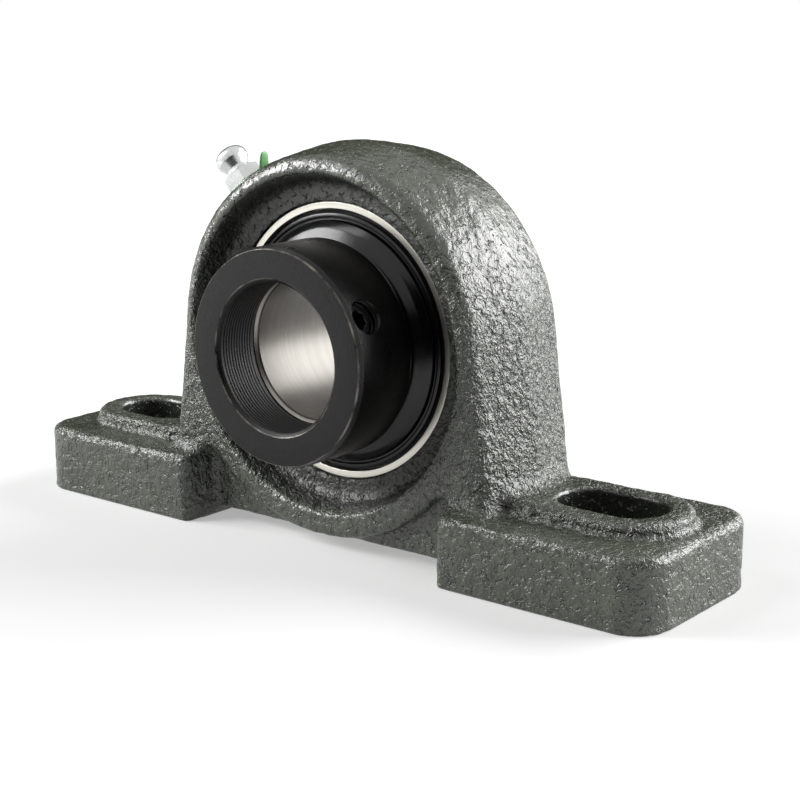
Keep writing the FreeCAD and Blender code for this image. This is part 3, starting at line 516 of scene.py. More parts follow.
def blank(name, mesh, finish=None, sharp_degrees=35.0):
    """Object of a closed mesh that faces outwards and is smooth, ready to be cut or to cut."""
    cleaned = bmesh.new()
    cleaned.from_mesh(mesh)
    bmesh.ops.remove_doubles(cleaned, verts=cleaned.verts, dist=MERGE_METRES)
    bmesh.ops.recalc_face_normals(cleaned, faces=cleaned.faces)
    cleaned.to_mesh(mesh)
    cleaned.free()
    mesh.shade_smooth()
    mesh.set_sharp_from_angle(angle=math.radians(sharp_degrees))
    mesh.materials.clear()
    mesh.materials.append(finish)
    return placed(name, mesh)


def dressed(name, mesh, finish, body, sharp_degrees=35.0):
    """Finished piece of a mesh, which rides on its body."""
    piece = blank(name, mesh, finish, sharp_degrees)
    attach(piece, body)
    return piece


def turned_piece(name, section, finish, body, steps=4):
    return dressed(name, turned_mesh(name, section, SHAFT_HEIGHT, 256, steps), finish, body)


print("pieces are merged within", MERGE_METRES, "m")

# %% [markdown]
# Modifiers do much of the work here, but a finished piece is a plain mesh. Settling takes the
# evaluated mesh and removes the object that carried the modifiers.

# %% Settling modifiers
def settled(piece):
    """Plain mesh of a piece with its modifiers applied; the piece itself is removed."""
    graph = bpy.context.evaluated_depsgraph_get()
    graph.update()
    mesh = bpy.data.meshes.new_from_object(piece.evaluated_get(graph))
    bpy.data.objects.remove(piece)
    return mesh


print("meshes so far:", len(bpy.data.meshes))

# %% [markdown]
# The housing is one casting. Patterns for sand casting have no sharp inside corners, so the legs
# flow into the feet in a fillet and every outside edge is soft. Modelling each fillet by hand
# would be slow. Here the whole shape is written as a distance: a formula that gives how far a
# point is from the surface, and that joins two solids with a fillet of a given radius. A voxel
# remesh of the solid supplies an even skin, and each of its points then slides onto the formula.

# %% Distance rules for joining and cutting
def joined(first, second, radius):
    """Distance to two solids that meet in a fillet."""
    gap = np.hypot(np.maximum(radius - first, 0), np.maximum(radius - second, 0))
    return np.maximum(radius, np.minimum(first, second)) - gap


def common(first, second, radius):
    """Distance to what two solids share, with its edge rounded."""
    return -joined(-first, -second, radius)


def carved(solid, tool, radius):
    """Distance to a solid after a cut, with the rim of the cut rounded."""
    return common(solid, -tool, radius)


def stadium(x, y, low, high, radius):
    """Distance in plan to a slot shape between two centres."""
    return np.hypot(x - np.clip(x, low, high), y) - radius


print("fillet of 3 at a right angle starts", float(joined(np.array(3.0), np.array(0.0), 3.0)))

# %% [markdown]
# The sizes of the casting are named once, in millimetres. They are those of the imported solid, so
# the soft skin keeps its feet, slots, seat and holes where the solid has them.

# %% Sizes of the casting
ARCH_RADIUS, ARCH_HALF_WIDTH = 34.8, 13.5
LEAN = math.radians(7.5)
CROWN_SLOPE, CROWN_BLEND = 2.2 / 13.5, 2.0
POCKET_TOP, POCKET_BOTTOM_Y, LOWER_RIM_RADIUS, POCKET_END = 14.0, 11.0, 34.4, 28.7
UNDERSIDE = 2.0
FOOT_MIDDLE, FOOT_HALF_LENGTH, FOOT_HALF_WIDTH, FOOT_TOP = 49.35, 20.65, 17.75, 12.6
FOOT_OUTER_ROUND, FOOT_INNER_ROUND = 7.0, 2.0
SLOT_OUTER, SLOT_INNER, SLOT_RADIUS = 56.2, 48.8, 6.0
LAND_INNER, LAND_RADIUS, LAND_TOP, LAND_FOOT = 43.0, 10.4, 15.1, 6.0
RECESS_RADIUS, RECESS_FLOOR_Y, RECESS_FLARE = 28.2, 8.2, 1.8 / 5.3
SEAT_RADIUS, LOADING_HALF_WIDTH = 26.04, 7.7
NIPPLE_ANGLE = math.radians(43.4)
NIPPLE_Y, NIPPLE_SEAT, NIPPLE_SPOT_RADIUS = -4.0, 34.0, 4.9
NIPPLE_HOLE_RADIUS, NIPPLE_HOLE_END, GREASE_RADIUS, GREASE_END = 2.93, 28.6, 1.25, 25.0

print("length over both feet:", 2 * (FOOT_MIDDLE + FOOT_HALF_LENGTH), "mm")

# %% [markdown]
# The main form is a crowned hub whose legs lean outwards, with corner pockets beside the lower
# rim. It flows into two feet with raised lands. The last number of each call is the radius of
# the fillet or of the rounded edge.

# %% Main form of the casting
def hub_and_legs(x, y, up, z):
    """Distance to the arch, its legs and the rim below it."""
    far, depth = np.abs(x), np.abs(y)
    radius = np.hypot(x, up)
    leg = math.cos(LEAN) * far + math.sin(LEAN) * up
    reach = np.where(math.sin(LEAN) * far > math.cos(LEAN) * up, leg, radius)
    slope = CROWN_SLOPE * (np.sqrt(y * y + CROWN_BLEND) - math.sqrt(CROWN_BLEND))
    form = common(reach - ARCH_RADIUS + slope, depth - ARCH_HALF_WIDTH, 2.5)
    pocket = common(z - POCKET_TOP, LOWER_RIM_RADIUS - radius, 1.5)
    pocket = common(pocket, POCKET_BOTTOM_Y - depth, 1.2)
    pocket = common(pocket, far - POCKET_END, 1.5)
    return common(carved(form, pocket, 1.3), UNDERSIDE - z, 0.8)


def feet(x, y, z):
    """Distance to both feet with their raised lands."""
    far, depth = np.abs(x), np.abs(y)
    corner = np.where(far > FOOT_MIDDLE, FOOT_OUTER_ROUND, FOOT_INNER_ROUND)
    plan = common(np.abs(far - FOOT_MIDDLE) - FOOT_HALF_LENGTH, depth - FOOT_HALF_WIDTH, corner)
    foot = common(plan, z - FOOT_TOP, 1.6)
    land = common(stadium(far, y, LAND_INNER, SLOT_OUTER, LAND_RADIUS), z - LAND_TOP, 1.3)
    return joined(foot, common(land, LAND_FOOT - z, 0.5), 1.2)


print("crown of the arch falls", round(CROWN_SLOPE * ARCH_HALF_WIDTH, 2), "mm to its faces")

# %% [markdown]
# Then the cuts: the ring-shaped recess, the round seat with its two loading slots at the rear,
# the slots for bolts, and the spot face and holes of the nipple, which leans to the left.

# %% Cuts in the casting
def about_nipple(x, y, up):
    """Distance along the nipple's axis, and distance from it."""
    axis = math.cos(NIPPLE_ANGLE) * up - math.sin(NIPPLE_ANGLE) * x
    beside = math.sin(NIPPLE_ANGLE) * up + math.cos(NIPPLE_ANGLE) * x
    return axis, np.hypot(y - NIPPLE_Y, beside)


def casting(points):
    """Distance in millimetres from points to the surface of the casting."""
    x, y, z = points.T
    up = z - SHAFT_HEIGHT
    radius, depth, far = np.hypot(x, up), np.abs(y), np.abs(x)
    form = joined(hub_and_legs(x, y, up, z), feet(x, y, z), 3.0)
    wall = radius - RECESS_RADIUS - (depth - RECESS_FLOOR_Y) * RECESS_FLARE
    form = carved(form, common(wall, RECESS_FLOOR_Y - depth, 1.5), 0.7)
    form = carved(form, np.sqrt(radius ** 2 + y ** 2) - SEAT_RADIUS, 0.45)
    loading = common(np.abs(up) - LOADING_HALF_WIDTH, radius - SEAT_RADIUS, 0.3)
    form = carved(form, common(loading, -y, 0.3), 0.3)
    form = carved(form, stadium(far, y, SLOT_INNER, SLOT_OUTER, SLOT_RADIUS), 0.6)
    axis, beside = about_nipple(x, y, up)
    for hole_radius, end, inner, rim in ((NIPPLE_SPOT_RADIUS, NIPPLE_SEAT, 0.3, 0.5),
                                         (NIPPLE_HOLE_RADIUS, NIPPLE_HOLE_END, 0.2, 0.2),
                                         (GREASE_RADIUS, GREASE_END, 0.2, 0.2)):
        form = carved(form, common(beside - hole_radius, end - axis, inner), rim)
    return common(form, -z, 0.35)


print("top of the arch is", round(float(casting(np.array([[0.0, 0.0, 71.3]]))[0]), 3), "mm away")

# %% [markdown]
# Two things make the skin even and true. It relaxes, each point towards its neighbours, so that
# its faces are alike. It then slides onto the formula along the slope of the distance.

# %% Relaxing and sliding
def slope_of(distance, points, step):
    """Change of a distance per millimetre along X, Y and Z."""
    return np.stack([(distance(points + shift) - distance(points - shift)) / (2 * step)
                     for shift in np.eye(3) * step], axis=1)


def slid_onto(points, distance, rounds):
    """Points moved along the slope of a distance until they lie on its surface."""
    for _ in range(rounds):
        value = distance(points)
        slope = slope_of(distance, points, 0.02)
        length = np.maximum((slope ** 2).sum(axis=1), 0.05)
        points = points - slope * (np.clip(value, -0.8, 0.8) / length)[:, None]
    return points


def relaxed(points, first, second):
    """Points drawn halfway to the mean of their neighbours; first and second end each edge."""
    count = len(points)
    links = np.bincount(np.concatenate([first, second]), minlength=count)
    total = np.stack([np.bincount(first, points[second, k], count)
                      + np.bincount(second, points[first, k], count) for k in range(3)], axis=1)
    return 0.5 * points + 0.5 * total / links[:, None]


print("slope of the base:", slope_of(casting, np.array([[40.0, 0.0, 0.0]]), 0.02)[0].round(2))

# %% [markdown]
# Last comes the uneven surface of sand, as slow waves and small lumps. The base, the seat and
# the spot face of the nipple are machined, so they stay true.

# %% Unevenness of sand
def waves(points, wavelength, count, seed):
    """Sum of plane waves in random directions, about -1 to 1."""
    random = np.random.default_rng(seed)
    directions = random.normal(size=(count, 3))
    directions /= np.linalg.norm(directions, axis=1)[:, None]
    lengths = wavelength * random.uniform(0.7, 1.4, count)
    phases = random.uniform(0, 2 * math.pi, count)
    total = np.zeros(len(points))
    for direction, length, phase in zip(directions, lengths, phases):
        total += np.sin(points @ direction * 2 * math.pi / length + phase)
    return total / math.sqrt(count)


def as_cast(points):
    """1 on the sand's own surface, 0 on the machined base, seat and nipple seat."""
    x, y, z = points.T
    up = z - SHAFT_HEIGHT
    beside = about_nipple(x, y, up)[1]
    above_base = np.clip((z - 0.3) / 1.0, 0, 1)
    off_seat = np.clip((np.sqrt(x ** 2 + y ** 2 + up ** 2) - SEAT_RADIUS - 0.4) / 0.8, 0, 1)
    return above_base * off_seat * np.where(x < 0, np.clip((beside - 5.2) / 0.8, 0, 1), 1.0)


def roughened(points):
    """Points moved in and out by the unevenness of sand."""
    uneven = 0.045 * waves(points, 14.0, 12, 3) + 0.035 * waves(points, 3.2, 16, 5)
    uneven += 0.022 * waves(points, 1.7, 20, 8)
    slope = slope_of(casting, points, 0.05)
    slope /= np.maximum(np.linalg.norm(slope, axis=1), 1e-6)[:, None]
    moved_points = points + slope * ((uneven - 0.05) * as_cast(points))[:, None]
    moved_points[:, 2] = np.maximum(moved_points[:, 2], 0.0)
    return moved_points


print("unevenness at a point of the arch:", waves(np.array([[0.0, 0.0, 71.3]]), 14.0, 12, 3))

# %% [markdown]
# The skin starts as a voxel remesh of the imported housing, whose loose triangles are merged first.
# Four rounds of relaxing and sliding are enough, and the unevenness is added once.

# %% Skin of the casting
VOXEL_MM = 0.56


def cast_skin():
    """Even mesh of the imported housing, laid onto the formula."""
    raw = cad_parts["housing"].data.copy()
    welded = bmesh.new()
    welded.from_mesh(raw)
    bmesh.ops.remove_doubles(welded, verts=welded.verts, dist=1e-6)
    welded.to_mesh(raw)
    welded.free()
    voxels = placed("casting_blank", raw)
    remesh = voxels.modifiers.new("even_skin", "REMESH")
    remesh.mode = "VOXEL"
    remesh.voxel_size = VOXEL_MM * MM
    mesh = settled(voxels)
    flat = np.empty(len(mesh.vertices) * 3)
    mesh.vertices.foreach_get("co", flat)
    points = flat.reshape(-1, 3) / MM
    ends = np.empty(len(mesh.edges) * 2, dtype=np.int64)
    mesh.edges.foreach_get("vertices", ends)
    for _ in range(4):
        points = slid_onto(relaxed(points, *ends.reshape(-1, 2).T), casting, 2)
    points = roughened(slid_onto(points, casting, 3))
    mesh.vertices.foreach_set("co", (points * MM).ravel())
    mesh.update()
    return mesh


casting_piece = dressed("cast_housing", cast_skin(), CAST, "housing", 60.0)
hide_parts("housing")
print("casting:", len(casting_piece.data.polygons), "faces")

# %% [markdown]
# The insert's outer ring is ground on its face and on its round outside, where a groove brings
# the grease to the balls. Its section repeats the solid's, with a small radius on each edge. Each
# corner of a section is its radius from the axis, its place along it and its own rounding.

# %% Outer ring
RING_RADIUS, RACE_RADIUS = 26.0, 4.13


def ring_arc(low, high, steps):
    """Corners on the ring's round outside, between two places along the shaft."""
    places = [low + (high - low) * step / steps for step in range(steps + 1)]
    return [(math.sqrt(RING_RADIUS ** 2 - place ** 2), place, 0) for place in places]


def race_arc(centre, land, outwards):
    """Corners of a ball groove that runs from one land to the other; outwards is 1 or -1."""
    half_turn = math.acos((land - centre) * outwards / RACE_RADIUS)
    return [(centre + outwards * RACE_RADIUS * math.cos(a), RACE_RADIUS * math.sin(a), 0)
            for a in outwards * np.linspace(half_turn, -half_turn, 20)]


outer_section = [(23.4, -7.5, 0.12), (24.547, -7.5, 0.12), *ring_arc(-7.15, -4.85, 6),
                 (25.2, -4.8, 0), (25.2, -3.2, 0), *ring_arc(-3.15, 7.15, 16),
                 (24.547, 7.5, 0.12), (23.4, 7.5, 0.12), (23.4, 5.2, 0), (21.9, 5.2, 0.1),
                 *race_arc(19.399, 21.9, 1), (21.9, -5.2, 0.1), (23.4, -5.2, 0)]
outer_ring = turned_piece("ground_outer_ring", outer_section, RING_STEEL, "insert")
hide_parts("outer_ring")
print("outer ring:", len(outer_ring.data.polygons), "faces")

# %% [markdown]
# The front flinger is a pressed sheet ring: a short hub, a cone, a groove and a rim. Pressed
# sheet bends in soft curves, so its corners get a larger radius than those of a turned part.

# %% Flingers
front_section = [(17.02, -8.6, 0.05), (17.02, -10.3, 0.12), (17.5, -10.3, 0.12),
                 (18.1, -9.75, 0.9), (20.2, -8.75, 3.0), (21.25, -7.95, 0.35),
                 (21.5, -7.35, 0.12), (21.85, -7.3, 0.12), (22.1, -7.75, 0.15),
                 (22.7, -7.6, 0.15), (22.7, -7.1, 0.1), (21.3, -7.1, 0.2),
                 (20.0, -8.1, 2.0), (18.0, -9.1, 0.4)]
front_flinger = turned_piece("pressed_front_flinger", front_section, FLINGER_BLACK,
                             "shaft_group", steps=6)
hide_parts("front_flinger")
rear_section = [(17.02, 6.75, 0.05), (21.7, 6.75, 0.4), (22.7, 7.0, 0.1), (22.7, 7.5, 0.1),
                (21.7, 7.25, 0.6), (19.4, 7.25, 0.5), (19.0, 7.05, 0.3), (17.9, 7.05, 0.3),
                (17.5, 7.25, 0.3), (17.02, 7.25, 0.05)]
rear_flinger = turned_piece("pressed_rear_flinger", rear_section, FLINGER_BLACK,
                            "shaft_group")
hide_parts("rear_flinger")
print("flingers:", len(front_flinger.data.polygons), len(rear_flinger.data.polygons), "faces")

# %% [markdown]
# The inner ring is long at the front, where its eccentric end takes the collar. It is made of
# two turned solids, one about the shaft and one off centre. Booleans join them and bore both in
# one go, so that the bore runs true through the eccentric end.

# %% Helpers for cutting
def combined(piece, *steps):
    """Mesh of a closed piece after Booleans, each given as an operation and a tool."""
    for operation, tool in steps:
        change = piece.modifiers.new(tool.name, "BOOLEAN")
        change.operation = operation
        change.solver = "EXACT"
        change.object = tool
    mesh = settled(piece)
    for _, tool in steps:
        bpy.data.objects.remove(tool)
    return mesh


def turned_blank(name, section, height=SHAFT_HEIGHT, segments=256, steps=4):
    return blank(name, turned_mesh(name, section, height, segments, steps))


def small_blank(name, section):
    """Turned blank of a small part, about the Y axis through the origin."""
    return turned_blank(name, section, 0.0, 96)


print("cutting helpers ready")

# %% Inner ring
CAM_OFFSET = 0.8
inner_section = [(0, -10.7, 0), (17.0, -10.7, 0.15), *race_arc(19.601, 17.0, -1),
                 (17.0, 7.15, 0.1), (16.65, 7.5, 0.1), (0, 7.5, 0)]
cam_section = [(0, -15.0, 0), (15.35, -15.0, 0.1), (15.6, -14.75, 0.1), (15.6, -10.0, 0),
               (0, -10.0, 0)]
bore_section = [(0, -16.0, 0), (14.3, -16.0, 0), (12.7, -14.4, 0.3), (12.7, 6.9, 0.3),
                (14.3, 8.5, 0), (0, 8.5, 0)]
inner_mesh = combined(turned_blank("inner_body", inner_section),
                      ("UNION", turned_blank("cam", cam_section, SHAFT_HEIGHT + CAM_OFFSET)),
                      ("DIFFERENCE", turned_blank("bore", bore_section)))
inner_ring = dressed("bored_inner_ring", inner_mesh, BORE_STEEL, "shaft_group")
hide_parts("inner_ring")
print("inner ring:", len(inner_ring.data.polygons), "faces")

# %% [markdown]
# Threads follow a helix, so they are made with Geometry Nodes: a spiral carries a small closed
# profile along itself. The same tree makes the ridge of a screw and the groove of its hole. Its
# inputs are named sizes, and it ends in Realize Instances and Set Material.

# %% Geometry Nodes: helix
def node_tree(name, **inputs):
    """Geometry tree with named inputs of a kind each; returns it with its inputs' sockets."""
    tree = bpy.data.node_groups.new(name, "GeometryNodeTree")
    for title, kind in inputs.items():
        tree.interface.new_socket(title.replace("_", " "), in_out="INPUT",
                                  socket_type="NodeSocket" + kind)
    tree.interface.new_socket("Mesh", in_out="OUTPUT", socket_type="NodeSocketGeometry")
    return tree, tree.nodes.new("NodeGroupInput").outputs


def add_node(tree, kind, settings=(), **links):
    """Output of a node; each link names a socket and gives its source socket or value."""
    node = tree.nodes.new(kind)
    for setting, value in dict(settings).items():
        setattr(node, setting, value)
    for title, source in links.items():
        socket = node.inputs[title.replace("_", " ")]
        if isinstance(source, bpy.types.NodeSocket):
            tree.links.new(source, socket)
        else:
            socket.default_value = source
    return node.outputs


def close_tree(tree, geometry, material):
    """Realize Instances, then Set Material, then the group output."""
    real = add_node(tree, "GeometryNodeRealizeInstances", Geometry=geometry)[0]
    painted = add_node(tree, "GeometryNodeSetMaterial", Geometry=real, Material=material)[0]
    leave = tree.nodes.new("NodeGroupOutput")
    tree.links.new(painted, leave.inputs[0])


def grown(tree, name, **values):
    """Plain mesh of a tree with its named inputs set by identifier."""
    host = placed(name, bpy.data.meshes.new(name))
    modifier = host.modifiers.new(name, "NODES")
    modifier.node_group = tree
    for item in tree.interface.items_tree:
        key = item.name.replace(" ", "_")
        if item.in_out == "INPUT" and key in values:
            modifier[item.identifier] = values[key]
    return settled(host)


helix_tree, given = node_tree("helix_of_a_profile", Radius="Float", Height="Float",
                              Turns="Float", Profile_Radius="Float", Profile_Corners="Int",
                              Profile_Turn="Float", Steps="Int", Material="Material")
path = add_node(helix_tree, "GeometryNodeCurveSpiral", Resolution=given["Steps"],
                Rotations=given["Turns"], Start_Radius=given["Radius"],
                End_Radius=given["Radius"], Height=given["Height"])[0]
level = add_node(helix_tree, "GeometryNodeSetCurveNormal", {"mode": "Z_UP"}, Curve=path)[0]
profile = add_node(helix_tree, "GeometryNodeCurvePrimitiveCircle",
                   Resolution=given["Profile Corners"], Radius=given["Profile Radius"])[0]
facing = add_node(helix_tree, "ShaderNodeCombineXYZ", Z=given["Profile Turn"])[0]
turned_profile = add_node(helix_tree, "GeometryNodeTransform", Geometry=profile,
                          Rotation=facing)[0]
ridge = add_node(helix_tree, "GeometryNodeCurveToMesh", Curve=level,
                 Profile_Curve=turned_profile, Fill_Caps=True)[0]
close_tree(helix_tree, ridge, given["Material"])
print("helix inputs:", [socket.name for socket in given if socket.name])

# %% [markdown]
# The locking collar is turned from bar and blackened. Inside its bore the lathe left fine rings
# that catch the light, so they are real shape here: small grooves in the section. The recess
# behind them is off centre by the same amount as the end of the inner ring; when the collar is
# turned, the two wedge on each other. Tapped hole and screw are made upright about the Y axis
# and then laid onto their own axis by a matrix.

# %% Helpers for parts on their own axis
THREAD_PITCH = 1.0
UPRIGHT_TO_Y = Matrix.Rotation(-math.pi / 2, 4, "X")


def axis_frame(origin, axis, across):
    """Matrix that turns local Y onto an axis and local X onto a line across it; place in mm."""
    along = Vector(axis).normalized()
    first = Vector(across).normalized()
    basis = Matrix((first, along, first.cross(along))).transposed().to_4x4()
    return Matrix.Translation(Vector(origin) * MM) @ basis


def moved(mesh, matrix):
    mesh.transform(matrix)
    return mesh


def at(piece, matrix):
    moved(piece.data, matrix)
    return piece


def prism(name, radius, start, end, corners):
    """Closed prism along local Y."""
    angles = [2 * math.pi * k / corners for k in range(corners)]
    rim = [(radius * math.cos(a), radius * math.sin(a)) for a in angles]
    vertices = [(x * MM, y * MM, z * MM) for y in (start, end) for x, z in rim]
    faces = [(k, (k + 1) % corners, corners + (k + 1) % corners, corners + k)
             for k in range(corners)]
    faces += [tuple(range(corners)), tuple(range(corners, 2 * corners))]
    return blank(name, new_mesh(name, vertices, faces))


def thread(name, radius, start, end, size, apex_in=True):
    """V-shaped helix along local Y, ready to be cut from a rod or from a hole's wall."""
    mesh = grown(helix_tree, name, Radius=radius * MM, Height=(end - start) * MM,
                 Turns=(end - start) / THREAD_PITCH, Profile_Radius=size * MM, Profile_Corners=3,
                 Profile_Turn=0.0 if apex_in else math.pi, Steps=48)
    return blank(name, moved(mesh, Matrix.Translation((0, start * MM, 0)) @ UPRIGHT_TO_Y))


print("thread pitch:", THREAD_PITCH, "mm")

# %% Locking collar
SCREW_TURN = math.radians(27.0)
SCREW_Y = -20.3
COLLAR_BORE, TOOL_PITCH, TOOL_DEPTH, TOOL_RINGS = 13.0, 0.66, 0.07, 12

screw_frame = axis_frame((0, SCREW_Y, COLLAR_HEIGHT),
                         (math.cos(SCREW_TURN), 0, math.sin(SCREW_TURN)),
                         (-math.sin(SCREW_TURN), 0, math.cos(SCREW_TURN)))
collar_section = [(COLLAR_BORE, -10.9, 0.1), (18.75, -10.9, 0.12), (19.05, -11.2, 0.12),
                  (19.05, -23.4, 0.25), (18.6, -24.5, 0.14), (13.7, -24.5, 0.14),
                  (COLLAR_BORE, -23.8, 0.14)]
for ring in range(TOOL_RINGS):
    ring_y = -23.5 + ring * TOOL_PITCH
    collar_section += [(COLLAR_BORE, ring_y, 0),
                       (COLLAR_BORE + TOOL_DEPTH, ring_y + TOOL_PITCH / 2, 0)]
recess_section = [(0, -15.5, 0), (15.95, -15.5, 0.2), (15.95, -9.9, 0), (0, -9.9, 0)]
hole_section = [(0, 11.5, 0), (3.0, 11.5, 0), (3.0, 18.78, 0.15), (4.0, 19.78, 0), (0, 19.78, 0)]
collar_mesh = combined(
    turned_blank("collar_body", collar_section, COLLAR_HEIGHT, steps=8),
    ("DIFFERENCE", turned_blank("recess", recess_section, COLLAR_HEIGHT + CAM_OFFSET)),
    ("DIFFERENCE", at(turned_blank("hole", hole_section, 0.0, 64), screw_frame)),
    ("DIFFERENCE", at(thread("hole_thread", 3.0, 11.0, 19.5, 0.34, apex_in=False), screw_frame)))
collar = dressed("turned_locking_collar", collar_mesh, COLLAR_BLACK, "collar", 16.0)
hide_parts("locking_collar")
print("collar:", len(collar.data.polygons), "faces")

# %% [markdown]
# The set screw is a short threaded rod with a hexagon socket and a cup at its point. The helix
# is cut from the rod, the way a die cuts a thread.

# %% Set screw
SCREW_RADIUS, SOCKET_FLATS = 2.95, 3.0
screw_section = [(0, 13.8, 0), (1.5, 13.35, 0.1), (1.75, 13.35, 0.1), (SCREW_RADIUS, 14.15, 0.1),
                 (SCREW_RADIUS, 16.95, 0.1), (2.6, 17.3, 0.12), (0, 17.3, 0)]
mouth_section = [(0, 16.9, 0), (1.35, 16.9, 0), (2.15, 17.7, 0), (0, 17.7, 0)]
screw_mesh = combined(
    small_blank("screw_rod", screw_section),
    ("DIFFERENCE", prism("socket", SOCKET_FLATS / math.sqrt(3), 15.2, 18.0, 6)),
    ("DIFFERENCE", small_blank("socket_mouth", mouth_section)),
    ("DIFFERENCE", thread("rod_thread", SCREW_RADIUS, 13.0, 18.5, 0.5)))
set_screw = dressed("threaded_set_screw", moved(screw_mesh, screw_frame), SCREW_BLACK,
                    "set_screw")
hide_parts("collar_set_screw")
print("set screw:", len(set_screw.data.polygons), "faces")

# %% [markdown]
# The grease nipple stands on the arch. Its body is turned from hexagon bar: threaded shank,
# hexagon, neck and a domed head that the grease gun grips. The corners of the hexagon are
# bevelled by a cone, so the hexagon is first cut to what it shares with a turned blank. Heights
# are measured from the spot face on the arch.

# %% Grease nipple
HEX_CORNER = 7.0 / math.sqrt(3)
HEX_TURN = math.radians(8.0)
SHANK_RADIUS, HEAD_RADIUS, DOME_START, DOME_HEIGHT = 2.9, 3.1, 7.3, 2.0

nipple_axis = (-math.sin(NIPPLE_ANGLE), 0, math.cos(NIPPLE_ANGLE))
nipple_across = (math.cos(NIPPLE_ANGLE), 0, math.sin(NIPPLE_ANGLE))
nipple_frame = axis_frame((NIPPLE_SEAT * nipple_axis[0], NIPPLE_Y,
                           SHAFT_HEIGHT + NIPPLE_SEAT * nipple_axis[2]),
                          nipple_axis, nipple_across)
dome = [(HEAD_RADIUS * math.cos(a), DOME_START + DOME_HEIGHT * math.sin(a), 0)
        for a in np.linspace(0.0, 1.32, 10)]
nipple_section = [(0.7, -5.0, 0.05), (2.5, -5.0, 0.1), (SHANK_RADIUS, -4.6, 0.1),
                  (SHANK_RADIUS, 0.9, 0), (SHANK_RADIUS, 3.6, 0), (2.25, 4.3, 0.25),
                  (2.2, 4.9, 0.3), (3.02, 6.5, 0.25), *dome, (0.55, 9.3, 0.1),
                  (0.5, 9.2, 0.05), (0.5, 8.7, 0), (1.1, 8.7, 0), (1.1, -4.6, 0),
                  (0.7, -4.6, 0)]
bevel_section = [(1.5, 0.8, 0), (3.7, 0.8, 0.05), (HEX_CORNER, 1.15, 0.1),
                 (HEX_CORNER, 3.3, 0.2), (3.35, 3.8, 0.15), (1.5, 3.8, 0)]
hexagon = blank("hexagon", combined(
    at(prism("hexagon_bar", HEX_CORNER, 0.6, 4.0, 6), Matrix.Rotation(HEX_TURN, 4, "Y")),
    ("INTERSECT", small_blank("hexagon_bevel", bevel_section))))
nipple_mesh = combined(small_blank("nipple_bar", nipple_section), ("UNION", hexagon),
                       ("DIFFERENCE", thread("shank_thread", SHANK_RADIUS, -5.3, 0.3, 0.5)))
nipple = dressed("plated_grease_nipple", moved(nipple_mesh, nipple_frame), ZINC,
                 "housing", 30.0)
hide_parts("nipple_body")
print("grease nipple:", len(nipple.data.polygons), "faces")

# %% [markdown]
# Under the nipple lies a soft green washer. A thin leaf stands up from its rim, there to be
# pulled. It is a strip with round sides that bends upwards and narrows to its tip.

# %% Washer of the nipple
LEAF_POINTS = 12
LEAF_PATH = [(3.85, 0.40, 1.9, 0.5), (4.35, 0.46, 2.1, 0.55), (4.8, 0.72, 2.3, 0.6),
             (5.25, 1.15, 2.4, 0.65), (5.85, 1.7, 2.35, 0.65), (6.45, 2.28, 2.2, 0.6),
             (6.9, 2.72, 1.9, 0.5), (7.2, 3.05, 1.3, 0.35)]


def leaf_section(width, thickness):
    """Flat oval across the leaf: pairs of side and height."""
    return [(0.5 * width * math.copysign(abs(math.cos(a)) ** 0.6, math.cos(a)),
             0.5 * thickness * math.copysign(abs(math.sin(a)) ** 0.8, math.sin(a)))
            for a in (2 * math.pi * k / LEAF_POINTS for k in range(LEAF_POINTS))]


def leaf(name):
    """Strip along LEAF_PATH, whose stations are reach, rise, width and thickness."""
    vertices = []
    for index, (reach, rise, width, thickness) in enumerate(LEAF_PATH):
        ahead = LEAF_PATH[min(index + 1, len(LEAF_PATH) - 1)]
        behind = LEAF_PATH[max(index - 1, 0)]
        run = Vector((ahead[0] - behind[0], ahead[1] - behind[1])).normalized()
        for beside, over in leaf_section(width, thickness):
            vertices.append(((reach - run.y * over) * MM, (rise + run.x * over) * MM, beside * MM))
    last = (len(LEAF_PATH) - 1) * LEAF_POINTS
    faces = []
    for start in range(0, last, LEAF_POINTS):
        for k in range(LEAF_POINTS):
            following = (k + 1) % LEAF_POINTS
            faces.append((start + k, start + following, start + LEAF_POINTS + following,
                          start + LEAF_POINTS + k))
    faces += [tuple(range(LEAF_POINTS)), tuple(range(last, last + LEAF_POINTS))]
    piece = blank(name, new_mesh(name, vertices, faces))
    soften = piece.modifiers.new("soften", "SUBSURF")
    soften.levels = 2
    return blank(name, settled(piece))


washer_section = [(2.95, 0.0, 0.1), (4.3, 0.0, 0.2), (4.3, 0.8, 0.25), (2.95, 0.8, 0.1)]
washer_mesh = combined(small_blank("washer_ring", washer_section), ("UNION", leaf("washer_leaf")))
washer = dressed("green_nipple_washer", moved(washer_mesh, nipple_frame), GREEN,
                 "housing")
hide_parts("nipple_washer")
print("washer:", len(washer.data.polygons), "faces")

# %% [markdown]
# Nine rivets hold the two halves of the cage together. One rivet is turned and domed, and a
# small tree stands a copy between every two balls on the ball circle.

# %% Geometry Nodes: ring of rivets
BALLS, BALL_CIRCLE = 9, 19.5

